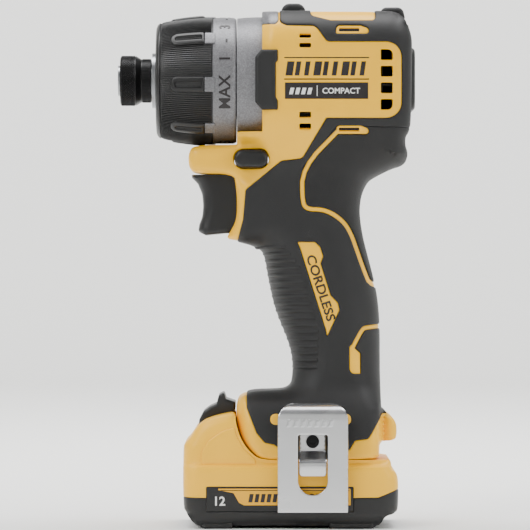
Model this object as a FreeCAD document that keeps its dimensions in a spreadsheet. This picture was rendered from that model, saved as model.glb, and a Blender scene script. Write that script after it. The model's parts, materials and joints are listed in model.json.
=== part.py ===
"""Compact cordless driver: a pistol-grip tool with a hex bit chuck, clutch dial, planetary gearbox,
brushless motor, trigger, direction bar, belt hook and a slide-on battery pack.

Millimetres. +Z up, the bit points along -X, the origin lies on the table under the middle of the
tool, and the spindle axis runs along X at the height axis_height.
"""

import FreeCAD, Part
import math
import os
import re
import Sketcher
from FreeCAD import Placement, Rotation, Vector

os.makedirs("parts", exist_ok=True)
doc = FreeCAD.newDocument("driver")

# ---------------------------------------------------------------------------------------------
# Driving dimensions
# ---------------------------------------------------------------------------------------------
SIZES = {
    # whole tool
    "axis_height": 195.0,       # spindle axis above the table
    "head_width": 57.0,
    "head_rise": 29.5,          # head's top above the axis
    "head_drop": 23.5,          # head's underside below the axis
    "head_front": -1.6,
    "head_back": 61.0,
    "shell_wall": 2.8,
    "skin_depth": 1.5,          # how deep the rubber sits in the shells
    "skin_proud": 0.5,          # how far it stands out of them
    "seam_gap": 0.15,           # gap beside every inset piece
    "bumper_rise": 3.9,         # the top hump's height above the head
    "bumper_width": 22.0,
    "grip_width": 37.0,
    "foot_top": 58.0,
    "foot_base": 30.2,          # underside of the foot, where the battery starts
    "foot_width": 58.0,
    "running_gap": 0.05,        # radial clearance of a turning fit
    "slide_gap": 0.3,           # clearance beside a piece that slides
    # nose, dial and clutch
    "nose_length": 11.0,
    "dial_radius": 28.0,
    "dial_wall": 3.4,
    "grip_ring_length": 24.7,
    "scale_length": 10.4,
    "nut_thickness": 5.0,
    "nut_front": -30.0,
    "spring_wire": 1.6,
    "clutch_ball": 2.0,
    "clutch_ball_circle": 17.0,
    # gear case and planetary gears
    "tube_radius": 10.4,        # the case's front tube, which the clutch nut rides on
    "case_wall": 3.0,
    "ring_radius": 20.0,
    "gear_module": 0.6,
    "sun_teeth": 15.0,
    "planet_teeth": 18.0,
    "gear_face": 5.2,
    "plate_thickness": 2.4,
    "planet_pin": 1.6,
    # spindle and chuck
    "journal_radius": 6.0,
    "core_radius": 4.9,
    "bush_radius": 8.2,
    "hex_flats": 6.45,
    "hex_depth": 23.0,
    "sleeve_radius": 11.2,
    "sleeve_neck": 9.5,
    "sleeve_length": 13.7,
    "tip_reach": 63.3,          # how far the spindle's tip stands in front of the head
    "tip_radius": 6.7,
    "lock_ball": 1.5,
    # motor
    "stator_radius": 19.5,
    "stator_bore": 11.8,
    "stator_length": 20.0,
    "air_gap": 0.5,
    "shaft_radius": 2.5,
    "fan_radius": 18.5,
    # trigger, switch, direction bar
    "trigger_width": 18.0,
    "bar_length": 14.6,
    "bar_height": 7.8,
    # battery
    "pack_front": -35.9,
    "pack_back": 57.4,
    "pack_width": 62.0,
    "pack_split": 14.5,         # height where the cover meets the base
    "pack_wall": 2.2,
    "foot_height": 1.2,         # the pack's feet stand this far below its underside
    "cell_radius": 9.15,
    "cell_length": 65.0,
    "rail_width": 33.2,         # the pack's raised tongue
    "rail_neck": 27.2,
    # belt hook
    "hook_width": 30.3,
    "hook_sheet": 1.6,
    "hook_screw": 2.0,
    "hook_gap": 5.2,            # room for a belt
}
sheet = doc.addObject("Spreadsheet::Sheet", "Sizes")
for row, (alias, value) in enumerate(SIZES.items(), start=1):
    sheet.set(f"A{row}", alias)
    sheet.set(f"B{row}", repr(value))
    sheet.setAlias(f"B{row}", alias)
doc.recompute()


class Values:
    """Reads a driving dimension off the sheet by its alias."""

    def __getattr__(self, alias):
        return float(sheet.get(alias))


S = Values()
nodes = {}


def bound(text):
    """An expression with the sheet's name put before each alias."""
    words = re.split(r"([a-z_]{3,})", str(text))
    return "".join("Sizes." + word if word in SIZES else word for word in words)


def bind(obj, **properties):
    for name, text in properties.items():
        obj.setExpression(name.replace("__", "."), bound(text))
    return obj


def node(label, obj):
    """Names a finished sub-part, which is what gives its file its name."""
    obj.Label = label
    nodes[label] = obj
    return obj


# ---------------------------------------------------------------------------------------------
# Builders for bound objects
# ---------------------------------------------------------------------------------------------
ALONG_X = Rotation(Vector(0, 1, 0), 90)
ALONG_Y = Rotation(Vector(1, 0, 0), -90)
ALONG_Z = Rotation()


def place(obj, turn, x, y, z):
    obj.Placement = Placement(Vector(), turn)
    bind(obj, Placement__Base__x=x, Placement__Base__y=y, Placement__Base__z=z)
    return obj


def rod(radius, length, x, y="0", z="axis_height", turn=ALONG_X):
    obj = doc.addObject("Part::Cylinder", "rod")
    bind(obj, Radius=radius, Height=length)
    return place(obj, turn, x, y, z)


def ball(radius, x, y, z):
    obj = doc.addObject("Part::Sphere", "ball")
    bind(obj, Radius=radius)
    return place(obj, ALONG_Z, x, y, z)


def block(length, width, height, x, y, z):
    """A box: x and z are its low corner, and it is centred on y."""
    obj = doc.addObject("Part::Box", "block")
    bind(obj, Length=length, Width=width, Height=height)
    return place(obj, ALONG_Z, x, f"({y}) - ({width}) / 2", z)


def cut(base, *tools):
    tool = tools[0] if len(tools) == 1 else fuse(*tools)
    obj = doc.addObject("Part::Cut", "cut")
    obj.Base, obj.Tool = base, tool
    return obj


def fuse(*shapes):
    obj = doc.addObject("Part::MultiFuse", "fuse")
    obj.Shapes = list(shapes)
    return obj


def group(*shapes):
    """Separate solids that share a node."""
    obj = doc.addObject("Part::Compound", "group")
    obj.Links = list(shapes)
    return obj


def tube(outer, inner, length, x):
    return cut(rod(outer, length, x), rod(inner, f"({length}) + 2", f"({x}) - 1"))


def fixed(shape, name="feature"):
    obj = doc.addObject("Part::Feature", name)
    obj.Shape = shape
    return obj


def origin_plane(body, role):
    return [f for f in body.Origin.OriginFeatures if f.Role == role][0]


def outline_sketch(body, role, points):
    """A closed polygon whose corners are bound to the sheet."""
    sketch = body.newObject("Sketcher::SketchObject", "outline")
    sketch.AttachmentSupport = [(origin_plane(body, role), "")]
    sketch.MapMode = "FlatFace"
    doc.recompute()
    at = [Vector(value_of(u), value_of(v), 0) for u, v in points]
    count = len(at)
    for i in range(count):
        sketch.addGeometry(Part.LineSegment(at[i], at[(i + 1) % count]), False)
    for i in range(count):
        sketch.addConstraint(Sketcher.Constraint("Coincident", i, 2, (i + 1) % count, 1))
    for i, (u, v) in enumerate(points):
        for kind, text, value in (("DistanceX", u, at[i].x), ("DistanceY", v, at[i].y)):
            index = sketch.addConstraint(Sketcher.Constraint(kind, -1, 1, i, 1, value))
            sketch.setExpression(f"Constraints[{index}]", bound(text))
    return sketch


probe = doc.addObject("App::FeaturePython", "Probe")
probe.addProperty("App::PropertyFloat", "Reading")


def value_of(text):
    """The number that an expression on the sheet's aliases gives."""
    bind(probe, Reading=text)
    probe.recompute()
    return probe.Reading


def turned(points):
    """A body turned about the spindle axis from (x, radius) corners."""
    body = doc.addObject("PartDesign::Body", "turned")
    sketch = outline_sketch(body, "XY_Plane", points)
    revolution = body.newObject("PartDesign::Revolution", "revolution")
    revolution.Profile = sketch
    revolution.ReferenceAxis = (sketch, ["H_Axis"])
    revolution.Angle = 360
    bind(body, Placement__Base__z="axis_height")
    return body


def padded(points, width):
    """A body padded along Y, half to each side, from (x, z) corners."""
    body = doc.addObject("PartDesign::Body", "padded")
    sketch = outline_sketch(body, "XZ_Plane", points)
    pad = body.newObject("PartDesign::Pad", "pad")
    pad.Profile = sketch
    pad.Midplane = True
    bind(pad, Length=width)
    doc.recompute()
    return body


# ---------------------------------------------------------------------------------------------
# Shell outlines, used by the shells, their rubber and everything fitted to them
# ---------------------------------------------------------------------------------------------
NOMINAL_AXIS = 195.0
HANDLE_LOW, HANDLE_HIGH = 62.0, 171.0


def lift(z):
    """Moves a height on the drawing to this tool: the foot stays, the handle stretches, the head rides."""
    grown = S.axis_height - NOMINAL_AXIS
    share = min(1.0, max(0.0, (z - HANDLE_LOW) / (HANDLE_HIGH - HANDLE_LOW)))
    return z + grown * share


def back(x):
    """Moves a place behind the panel with the head's back."""
    return x + S.head_back - 61.0


def corner_wire(points):
    """A closed wire from (u, v, radius) corners in the XZ plane, each rounded by a tangent arc."""
    count = len(points)
    ends = []
    for i, (u, v, radius) in enumerate(points):
        here = Vector(u, 0, v)
        before = Vector(points[i - 1][0], 0, points[i - 1][1]) - here
        after = Vector(points[(i + 1) % count][0], 0, points[(i + 1) % count][1]) - here
        half = before.getAngle(after) / 2
        if radius <= 0 or abs(half - math.pi / 2) < 1e-3:
            ends.append((here, None, here))
            continue
        reach = min(radius / math.tan(half), 0.49 * before.Length, 0.49 * after.Length)
        first = here + before.normalize() * reach
        last = here + after.normalize() * reach
        middle = here + (before + after).normalize() * (reach / math.cos(half) - reach * math.tan(half))
        ends.append((first, middle, last))
    edges = []
    for i, (first, middle, last) in enumerate(ends):
        if middle is not None:
            edges.append(Part.Arc(first, middle, last).toShape())
        following = ends[(i + 1) % count][0]
        if (following - last).Length > 1e-6:
            edges.append(Part.makeLine(last, following))
    return Part.Wire(Part.__sortEdges__(edges))


def prism(points, low=-45.0, high=0.0):
    """The rounded outline, extruded from y = low to y = high."""
    face = Part.Face(corner_wire(points))
    face.translate(Vector(0, low, 0))
    return face.extrude(Vector(0, high - low, 0))


def oval_section(z, front, rear, half_width, roundness):
    """A rounded rectangle at height z."""
    radius = roundness * min(half_width, (rear - front) / 2)
    corners = [(front, -half_width), (rear, -half_width), (rear, half_width), (front, half_width)]
    wire = corner_wire([(x, y, radius) for x, y in corners])
    turn = FreeCAD.Matrix()
    turn.rotateX(math.radians(90))
    wire = wire.transformGeometry(turn)
    wire.translate(Vector(0, 0, z))
    return wire


# height, front, rear, share of the grip's half width, roundness
HANDLE = [
    (50.0, 6.0, 49.2, 1.05, 0.80),
    (62.0, 11.6, 49.6, 1.00, 0.90),
    (70.0, 12.3, 49.6, 0.97, 0.92),
    (82.0, 9.8, 49.6, 0.96, 0.92),
    (96.0, 4.2, 49.2, 0.98, 0.92),
    (110.0, 1.2, 46.4, 1.00, 0.92),
    (120.5, -1.0, 43.6, 1.00, 0.92),
    (127.0, -10.5, 42.0, 1.00, 0.86),
    (135.0, -13.2, 40.8, 1.00, 0.80),
    (145.0, -13.6, 41.6, 1.00, 0.76),
    (153.0, -14.0, 48.0, 1.04, 0.76),
    (161.0, -14.2, 59.6, 1.16, 0.76),
    (172.0, -14.0, 60.2, 1.28, 0.70),
    (177.0, -10.0, 56.0, 1.28, 0.70),
]
# height, front, rear, share of the foot's half width, corner radius share
FOOT = [
    (30.2, -4.0, 49.4, 1.00, 0.35),
    (37.0, -10.2, 49.7, 0.99, 0.35),
    (47.0, -12.8, 49.7, 0.93, 0.40),
    (56.5, -12.2, 49.7, 0.78, 0.50),
    (61.0, -6.0, 49.6, 0.66, 0.60),
]


def handle_solid(off):
    rows = []
    for z, front, rear, share, roundness in HANDLE:
        half = share * S.grip_width / 2
        rear_now = back(rear) if z > 150 else rear
        rows.append(oval_section(lift(z), front - off, rear_now + off, half + off, roundness))
    return Part.makeLoft(rows, True, True)


def foot_solid(off):
    rows = []
    for i, (z, front, rear, share, roundness) in enumerate(FOOT):
        rise = -off if i == 0 else off if i == len(FOOT) - 1 else 0.0
        base = z + S.foot_base - 30.2 + rise
        half = share * S.foot_width / 2
        rows.append(oval_section(base, front - off, rear + off, half + off, roundness))
    return Part.makeLoft(rows, True, True)


def head_solid(off):
    front, rear = S.head_front - off, S.head_back + off
    half, top, low = S.head_width / 2 + off, S.head_rise + off, -S.head_drop - off
    size = (2 * half, top - low)
    box = Part.makeBox(rear - front, size[0], size[1], Vector(front, -half, S.axis_height + low))
    longs = [e for e in box.Edges if abs(e.BoundBox.XLength - (rear - front)) < 1e-4]
    box = box.makeFillet(0.28 * min(size), longs)
    rims = [e for e in box.Edges if e.BoundBox.XMin > rear - 1e-3]
    return box.makeFillet(0.11 * min(size), rims)


def chin_solid(off):
    """The finger guard in front of the trigger's top, and the hooked lip behind the trigger."""
    guard = [
        (-33.8 - off, lift(154.0) - off, 3.4),
        (-33.8 - off, S.axis_height - S.dial_radius - 0.6 + off, 5.0),
        (-4.0, S.axis_height - S.dial_radius - 0.6 + off, 0),
        (-4.0, lift(154.0) - off, 0),
    ]
    lip = [
        (-12.0, lift(124.9) - off, 0),
        (-16.8 - off, lift(125.6) - off, 1.5),
        (-15.2 - off, lift(134.0), 3.0),
        (-13.6 - off, lift(146.0), 0),
        (-9.0, lift(146.0), 0),
    ]
    half = 0.90 * S.grip_width / 2 + off
    lip_half = 0.68 * S.grip_width / 2 + off
    return prism(guard, -half, half).fuse(prism(lip, -lip_half, lip_half))


def spur_solid(off):
    """The spur at the back of the foot that stops the battery."""
    outline = [
        (48.0, 37.4 - off, 0),
        (56.8 + off, 37.4 - off, 1.0),
        (57.0 + off, 47.0, 4.0),
        (51.0, 50.8 + off, 1.0),
        (48.0, 50.8 + off, 0),
    ]
    grown = [(x, z + S.foot_base - 30.2, r) for x, z, r in outline]
    half = 0.62 * S.foot_width / 2 + off
    return prism(grown, -half, half)


def master(off):
    """The tool's closed outer form, grown by off."""
    parts = [handle_solid(off), foot_solid(off), chin_solid(off)]
    solid = head_solid(off).multiFuse(parts)
    return solid


def axis_rod(radius, x_low, x_high):
    return Part.makeCylinder(radius, x_high - x_low, Vector(x_low, 0, S.axis_height), Vector(1, 0, 0))


def slab(x_low, x_high, z_low, z_high, half, y=0.0):
    return Part.makeBox(x_high - x_low, 2 * half, z_high - z_low, Vector(x_low, y - half, z_low))


def side_slab(x_low, x_high, z_low, z_high, y_low, y_high):
    return Part.makeBox(x_high - x_low, y_high - y_low, z_high - z_low, Vector(x_low, y_low, z_low))


def mirrored(shape):
    return shape.mirror(Vector(), Vector(0, 1, 0))


# outlines in the side view, (x, z, corner radius)
def up(z):
    """A height beside the head, from the axis on the drawing."""
    return S.axis_height + z


def head_skin_outline():
    return [
        (6.1, up(45), 0), (6.1, up(24.2), 2.0), (9.0, up(22.9), 2.0), (21.5, up(22.7), 4.0),
        (26.4, up(15.7), 2.0), (back(59.0), up(15.7), 7.0), (back(59.0), up(-17.5), 7.0),
        (26.2, up(-17.5), 0), (31.2, up(-20.6), 0), (45.5, up(-21.6), 0), (back(66.0), up(-22.6), 0),
        (back(66.0), up(45), 0),
    ]


def grip_skin_outline():
    return [
        (26.2, up(-17.7), 0), (15.8, up(-34.8), 3.0), (6.7, up(-35.8), 3.0), (-8.8, lift(146.7), 2.0),
        (-9.9, lift(133.8), 2.0), (-12.3, lift(124.8), 1.0), (-40.0, lift(120.0), 0), (-40.0, 62.5, 0),
        (-8.4, 62.5, 0), (-8.2, 52.0, 3.0), (-4.0, 41.4, 2.0), (-0.5, 37.2, 1.5), (3.6, 36.4, 1.5),
        (7.0, 34.0, 1.0), (36.0, 34.0, 1.0), (38.5, 38.2, 1.5), (44.1, 38.8, 2.0), (45.8, 41.4, 2.0),
        (50.6, 49.6, 0), (70.0, 49.6, 0), (70.0, up(-22.9), 0), (45.5, up(-21.9), 0), (31.0, up(-20.9), 0),
    ]


def piping_path():
    """The yellow line that divides the palm pad from the grip."""
    return [
        (30.8, up(-20.3)), (15.8, lift(156.3)), (15.8, lift(140.8)), (18.3, lift(138.2)),
        (24.2, lift(138.2)), (29.3, lift(136.3)), (34.5, lift(132.3)), (37.6, lift(126.7)),
        (40.0, lift(119.7)), (43.1, lift(111.0)), (45.7, lift(104.9)), (53.0, lift(103.5)),
    ]


def lower_piping_path():
    return [(53.0, lift(87.6)), (43.6, lift(87.0)), (41.6, lift(85.4)), (37.4, lift(77.4))]


def palm_outline():
    """Everything behind the piping."""
    path = piping_path()
    return [(x, z, 0) for x, z in path] + [(75.0, lift(103.5), 0), (75.0, up(-20.3), 0)]


def strip(path, half):
    """A band of half width half along a path, with round ends, cut through one side."""
    pieces = []
    for (x1, z1), (x2, z2) in zip(path, path[1:]):
        along = Vector(x2 - x1, 0, z2 - z1)
        side = Vector(-along.z, 0, along.x).normalize() * half
        a, b = Vector(x1, -45, z1), Vector(x2, -45, z2)
        wire = Part.makePolygon([a + side, b + side, b - side, a - side, a + side])
        pieces.append(Part.Face(wire).extrude(Vector(0, 45, 0)))
        pieces.append(Part.makeCylinder(half, 45, b, Vector(0, 1, 0)))
    return pieces[0].multiFuse(pieces[1:])


def tab_outline():
    return [
        (36.3, lift(78.6), 1.0), (36.3, lift(66.6), 2.4), (41.2, lift(66.6), 0.3), (41.2, lift(75.6), 0.6),
        (38.9, lift(77.6), 0.6), (38.9, lift(80.0), 0),
    ]


def badge_outline():
    return [
        (13.6, lift(124.1), 0.3), (21.3, lift(124.1), 1.5), (23.6, lift(121.9), 1.5),
        (25.0, lift(117.7), 1.0), (23.8, lift(114.7), 1.0), (28.2, lift(100.8), 1.0),
        (31.3, lift(97.6), 1.5), (32.1, lift(94.4), 2.0), (26.6, lift(82.7), 0.3),
        (26.0, lift(86.0), 0.6), (15.4, lift(119.6), 1.0), (14.6, lift(122.0), 0.4),
    ]


def window_outline(z_middle):
    return [
        (30.6, up(z_middle - 1.9), 0.8), (44.5, up(z_middle - 1.9), 1.6),
        (44.5, up(z_middle + 0.6), 1.6), (41.0, up(z_middle + 1.9), 1.2), (30.6, up(z_middle + 1.9), 1.7),
    ]


def label_outline():
    return [(7.7, up(-9.3), 0.4), (44.8, up(-9.3), 0.4), (44.8, up(8.7), 0.4), (7.7, up(8.7), 0.4)]


def pad_outline():
    return [
        (-4.6, up(-10.6), 0.6), (-1.6, up(-13.9), 0.8), (5.0, up(-13.9), 0.6), (5.0, up(-9.9), 0.4),
        (4.1, up(-8.4), 0.4), (4.1, up(6.4), 0.4), (5.0, up(7.5), 0.4), (5.0, up(12.2), 0.6),
        (-2.0, up(12.2), 0.8), (-4.6, up(9.0), 0.6),
    ]


# ---------------------------------------------------------------------------------------------
# Shells, rubber, labels
# ---------------------------------------------------------------------------------------------
def build_shells():
    outer = master(0.0).fuse(spur_solid(0.0))
    cavity = master(-S.shell_wall)
    skin_outer, skin_inner = master(S.skin_proud), master(-S.skin_depth)
    solid_outer = outer.removeSplitter()

    # round openings and cradles round the spindle axis
    case_radius = S.ring_radius + S.case_wall
    nose_back = S.head_front
    nose_front = nose_back - S.nose_length
    openings = axis_rod(case_radius + 2.6, nose_front - 40, nose_back + 6.0)
    openings = openings.fuse(axis_rod(S.dial_radius + S.seam_gap, nose_front - 0.1, nose_back))
    openings = openings.fuse(axis_rod(S.dial_radius + 0.55, nose_front - 60, nose_front - 0.1))
    cradles = []
    stator = S.stator_radius
    for x, radius in ((8.0, case_radius), (16.0, case_radius), (29.0, stator), (43.0, stator)):
        rib = slab(x, x + 2.0, up(-S.head_drop - 4), up(S.head_rise), S.head_width / 2)
        cradles.append(rib.cut(axis_rod(radius + S.seam_gap, x - 1, x + 3)))
    ribs = cavity.common(cradles[0].multiFuse(cradles[1:]))

    # rail channel under the foot
    base = S.foot_base
    half_rail, half_neck = S.rail_width / 2 + S.slide_gap, S.rail_neck / 2 + S.slide_gap
    channel = slab(-20.0, 44.0, base + 3.2, base + 10.6, half_rail)
    mouth = slab(-20.0, 44.0, base - 3.0, base + 3.6, half_neck)
    roof = slab(-10.0, 47.0, base + 0.4, base + 13.0, half_rail + 2.0)
    roof_block = roof.common(solid_outer)

    # trigger slot, direction bar hole, vents
    trigger_half = S.trigger_width / 2 + S.slide_gap
    slot = slab(-24.0, 2.0, lift(126.5), lift(154.4), trigger_half)
    bar_x, bar_z = direction_bar_place()
    bar_hole = bar_prism(bar_x, bar_z, S.bar_length / 2 + S.slide_gap, S.bar_height / 2 + S.slide_gap, 60.0)
    vents = []
    for x, z, width, height in vent_places():
        for y_low in (-40.0, 5.0):
            vents.append(side_slab(x, x + width, up(z), up(z + height), y_low, y_low + 35.0))
    vent_tool = vents[0].multiFuse(vents[1:])

    clip_pocket = side_slab(*hook_pocket())
    screw = hook_screw_place()
    depth = S.foot_width / 2 - half_rail - 1.8
    boss_start = Vector(screw[0], -S.foot_width / 2 - 1, screw[1])
    screw_bore = Part.makeCylinder(S.hook_screw, depth + 1, boss_start, Vector(0, 1, 0))
    screw_bore = screw_bore.fuse(mirrored(screw_bore))
    boss = Part.makeCylinder(5.0, depth + 3, boss_start, Vector(0, 1, 0))
    pocket_back = slab(hook_pocket()[0] - 1.6, hook_pocket()[1] + 1.6, hook_pocket()[2] - 1.6,
                       hook_pocket()[3] + 1.6, 1.4, -S.foot_width / 2 + 5.6)
    boss = boss.fuse(pocket_back)
    boss = boss.fuse(mirrored(boss))
    bosses = screw_bosses().cut(axis_rod(case_radius + S.seam_gap, -60, 24.0))
    bosses = bosses.cut(axis_rod(S.stator_radius + 0.4, 20.0, 80.0))
    lead_window = slab(*terminal_window())

    cap = cap_solid(S.seam_gap)
    labels = label_solid(S.seam_gap)
    pads = pad_solid(S.seam_gap)

    hollow = cavity.cut(roof_block).cut(boss).cut(ribs).cut(bosses)
    shell = solid_outer.cut(hollow)
    shell = shell.cut(channel).cut(mouth).cut(openings).cut(slot).cut(bar_hole).cut(vent_tool)
    shell = shell.cut(lead_window).cut(cap).cut(clip_pocket).cut(mirrored(clip_pocket)).cut(screw_bore)
    shell = shell.cut(labels).cut(mirrored(labels)).cut(pads).cut(mirrored(pads))
    shell = shell.cut(housing_screw_holes())

    # rubber skins on the left; the right ones are their mirror images
    skin = skin_outer.cut(skin_inner)
    half_space = side_slab(-80, 90, -10, 260, -60.0, 0.0)
    skin = skin.common(half_space)
    trims = [openings, bar_hole, vent_tool, cap, clip_pocket, slot, screw_bore]
    head_region = prism(head_skin_outline())
    grip_region = prism(grip_skin_outline())
    palm_region = prism(palm_outline())
    piping = strip(piping_path(), 1.1)
    lower = strip(lower_piping_path(), 1.0).fuse(prism(tab_outline()))
    windows = prism(window_outline(20.9)).fuse(prism(window_outline(-22.5)))
    badge = prism(badge_outline())
    underside = slab(-80, 90, -10, base + 1.0, 60)

    def skin_piece(region, *holes):
        piece = skin.common(region)
        for hole in list(holes) + trims + [underside]:
            piece = piece.cut(hole)
        return Part.makeCompound([s for s in piece.Solids if s.Volume > 12.0])

    head_skin = skin_piece(head_region, windows, prism(top_plate_outline()))
    head_skin = head_skin.fuse(prism(bumper_outline(), -S.bumper_width / 2, 0.0))
    palm_skin = skin_piece(palm_region.common(grip_region), piping, windows)
    grip_skin = skin_piece(grip_region.cut(palm_region), piping, lower, badge, windows)
    for left in (head_skin, palm_skin, grip_skin):
        for half in (left, mirrored(left)):
            shell = shell.cut(half)
    gap = S.seam_gap / 4
    left_half = shell.common(side_slab(-80, 90, -10, 260, -60.0, -gap))
    right_half = shell.common(side_slab(-80, 90, -10, 260, gap, 60.0))
    node("left_shell", fixed(largest(left_half)))
    node("right_shell", fixed(largest(right_half)))
    middle = slab(-80, 90, -10, 260, gap)
    skins = [skin.cut(middle) for skin in (head_skin, palm_skin, grip_skin)]
    node("left_rubber", fixed(Part.makeCompound(skins)))
    node("right_rubber", fixed(Part.makeCompound([mirrored(skin) for skin in skins])))
    for name, plate in (("side_labels", label_solid(0.0)), ("nose_pads", pad_solid(0.0))):
        node(name, fixed(Part.makeCompound([plate, mirrored(plate)])))
    node("rear_cap", fixed(cap_solid(0.0).cut(axis_rod(5.5, 55.0, S.head_back))))


def largest(shape):
    """The biggest solid of a shape, without the chips that a cut leaves."""
    solids = sorted(shape.Solids, key=solid_volume)
    return solids[-1]


def solid_volume(solid):
    return solid.Volume


def bumper_outline():
    """The rubber hump across the head's top, near its front."""
    top = S.head_rise + S.bumper_rise
    foot = S.head_rise - S.skin_depth + 0.2
    return [(6.8, up(foot), 0), (8.4, up(top), 2.6), (15.6, up(top), 2.6), (17.2, up(foot), 0)]


def top_plate_outline():
    return [
        (19.4, up(45), 0), (19.4, up(27.2), 2.0), (28.0, up(24.9), 1.0), (47.4, up(24.9), 1.6),
        (47.4, up(45), 0),
    ]


def label_solid(gap):
    """A thin plate let into the flat of the left side."""
    half = S.head_width / 2
    outline = [(x + dx * gap, z + dz * gap, r) for (x, z, r), (dx, dz) in
               zip(label_outline(), ((-1, -1), (1, -1), (1, 1), (-1, 1)))]
    return prism(outline, -half - 0.01 - gap, -half + 0.6)


def pad_solid(gap):
    """A rubber bumper beside the nose, let into the left side."""
    half = S.head_width / 2
    base = prism(pad_outline(), -half - 1.0, -half + 1.2)
    if gap:
        base = base.makeOffsetShape(gap, 1e-3, join=2)
    return base.cut(axis_rod(S.dial_radius + S.seam_gap, -20, S.head_front)) if gap == 0 else base


def cap_solid(gap):
    """The rear end cap, proud of the head's back."""
    half, low, high = 20.0 + gap, -13.8 - gap, 13.6 + gap
    front, rear = S.head_back - S.shell_wall - 1.2 - gap, S.head_back + 3.9
    box = slab(front, rear, up(low), up(high), half)
    longs = [e for e in box.Edges if abs(e.BoundBox.XLength - (rear - front)) < 1e-4]
    box = box.makeFillet(5.0, longs)
    return box if gap else box.makeFillet(1.6, [e for e in box.Edges if e.BoundBox.XMin > rear - 1e-3])


def vent_places():
    """Air slots in each side: (x, z from the axis, width, height)."""
    places = [(back(49.7), -13.9 + 7.2 * i, 5.1, 4.6) for i in range(4)]
    places += [(14.5, z, 5.0, 1.9) for z in (17.3, 13.1)]
    places += [(14.5, z, 5.0, 2.6) for z in (-17.4, -22.5)]
    return places


def direction_bar_place():
    return -6.4, lift(160.2)


def bar_prism(x, z, half_length, half_height, width):
    left, right, radius = x - half_length, x + half_length, 0.98 * half_height
    outline = [
        (left, z - half_height, radius), (right, z - half_height, radius),
        (right, z + half_height, radius), (left, z + half_height, radius),
    ]
    return prism(outline, -width / 2, width / 2)


def terminal_window():
    """The hole in the rail's roof that the terminal block's stem passes."""
    return 33.0, 41.4, S.foot_base + 9.0, S.foot_base + 14.0, 8.0 + S.slide_gap


def hook_screw_place():
    return 20.2, S.foot_base + 7.4


def hook_pocket():
    """The pocket in each side of the foot that holds the hook's tongue."""
    x, z = hook_screw_place()
    half = S.foot_width / 2
    return x - 8.2, x + 8.2, z - 9.0, z + 15.4, -half - 5.0, -half + 4.4


def housing_screw_places():
    return [(8.0, lift(122.0)), (45.0, up(-38.2)), (20.0, lift(62.5)), (14.5, lift(100.0)),
            (11.0, up(25.0)), (53.0, up(24.6))]


def screw_bosses():
    """The posts inside the shells that the six case screws pass."""
    along = Vector(0, 1, 0)
    posts = [Part.makeCylinder(3.7, 60, Vector(x, -30, z), along) for x, z in housing_screw_places()]
    return posts[0].multiFuse(posts[1:])


def housing_screw_holes():
    holes = []
    for x, z in housing_screw_places():
        holes.append(Part.makeCylinder(1.5, 60, Vector(x, -10, z), Vector(0, 1, 0)))
        holes.append(Part.makeCylinder(3.0, 40, Vector(x, 9.0, z), Vector(0, 1, 0)))
    return holes[0].multiFuse(holes[1:])


def build_housing_screws():
    screws = []
    for x, z in housing_screw_places():
        shank = rod("1.45", "18.6", x, "-9.6", z, ALONG_Y)
        head = rod("2.8", "2.0", x, "9.0", z, ALONG_Y)
        recess = rod("1.1", "1.3", x, "9.8", z, ALONG_Y)
        screws.append(cut(fuse(shank, head), recess))
    node("case_screws", group(*screws))


# ---------------------------------------------------------------------------------------------
# Gears
# ---------------------------------------------------------------------------------------------
PRESSURE = math.radians(25.0)
ADDENDUM, DEDENDUM = 0.95, 1.20     # in modules
BACKLASH = 0.05                     # taken off each flank


def involute(radius, base):
    """The involute's polar angle at a radius, nought inside the base circle."""
    if radius <= base:
        return 0.0
    return math.sqrt((radius / base) ** 2 - 1) - math.acos(base / radius)


def gear_face(teeth, grow=0.0):
    """A spur gear's face about the origin with a tooth centred on +X; grow widens its teeth."""
    pitch = teeth * S.gear_module / 2
    base = pitch * math.cos(PRESSURE)
    inner, outer = (ADDENDUM, DEDENDUM) if grow > 0 else (DEDENDUM, ADDENDUM)
    root, tip = pitch - inner * S.gear_module, pitch + outer * S.gear_module
    centre = math.pi / (2 * teeth) + (grow or -BACKLASH) / pitch
    radii = [root + (tip - root) * i / 4 for i in range(5)]
    flank = [(r, centre + involute(pitch, base) - involute(r, base)) for r in radii]
    corners = []
    for i in range(teeth):
        middle = 2 * math.pi * i / teeth
        corners += [(r, middle - a) for r, a in flank] + [(r, middle + a) for r, a in reversed(flank)]
    points = [Vector(r * math.cos(a), r * math.sin(a), 0) for r, a in corners]
    return Part.Face(Part.makePolygon(points + [points[0]]))


def gear_solid(teeth, length, bore=0.0):
    gear = gear_face(teeth).extrude(Vector(0, 0, length))
    if bore:
        gear = gear.cut(Part.makeCylinder(bore, length + 2, Vector(0, 0, -1)))
    return gear


def ring_solid(teeth, length, radius):
    void = gear_face(teeth, BACKLASH).extrude(Vector(0, 0, length + 2))
    void.rotate(Vector(), Vector(0, 0, 1), 180.0 / teeth)
    void.translate(Vector(0, 0, -1))
    return Part.makeCylinder(radius, length).cut(void)


def on_axis(shape, x, turn=0.0, orbit=0.0, phase=0.0):
    """A feature whose local Z runs along the spindle.

    Turn and orbit place it round the axis, and phase turns it about its own; all angles are in degrees.
    """
    obj = fixed(shape)
    down = math.radians(turn)
    offset = Vector(0, orbit * math.sin(down), -orbit * math.cos(down))
    own_turn = ALONG_X.multiply(Rotation(Vector(0, 0, 1), phase))
    obj.Placement = Placement(Vector(x, 0, S.axis_height) + offset, own_turn)
    return obj


def round_axis(shape, x, angle):
    """A feature modelled above the X axis, moved to the spindle axis and turned about it."""
    obj = fixed(shape)
    obj.Placement = Placement(Vector(x, 0, S.axis_height), Rotation(Vector(1, 0, 0), angle))
    return obj


PLANETS = 3
RING_FRONT = 0.45
PLATE_FRONT = 0.9


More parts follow.
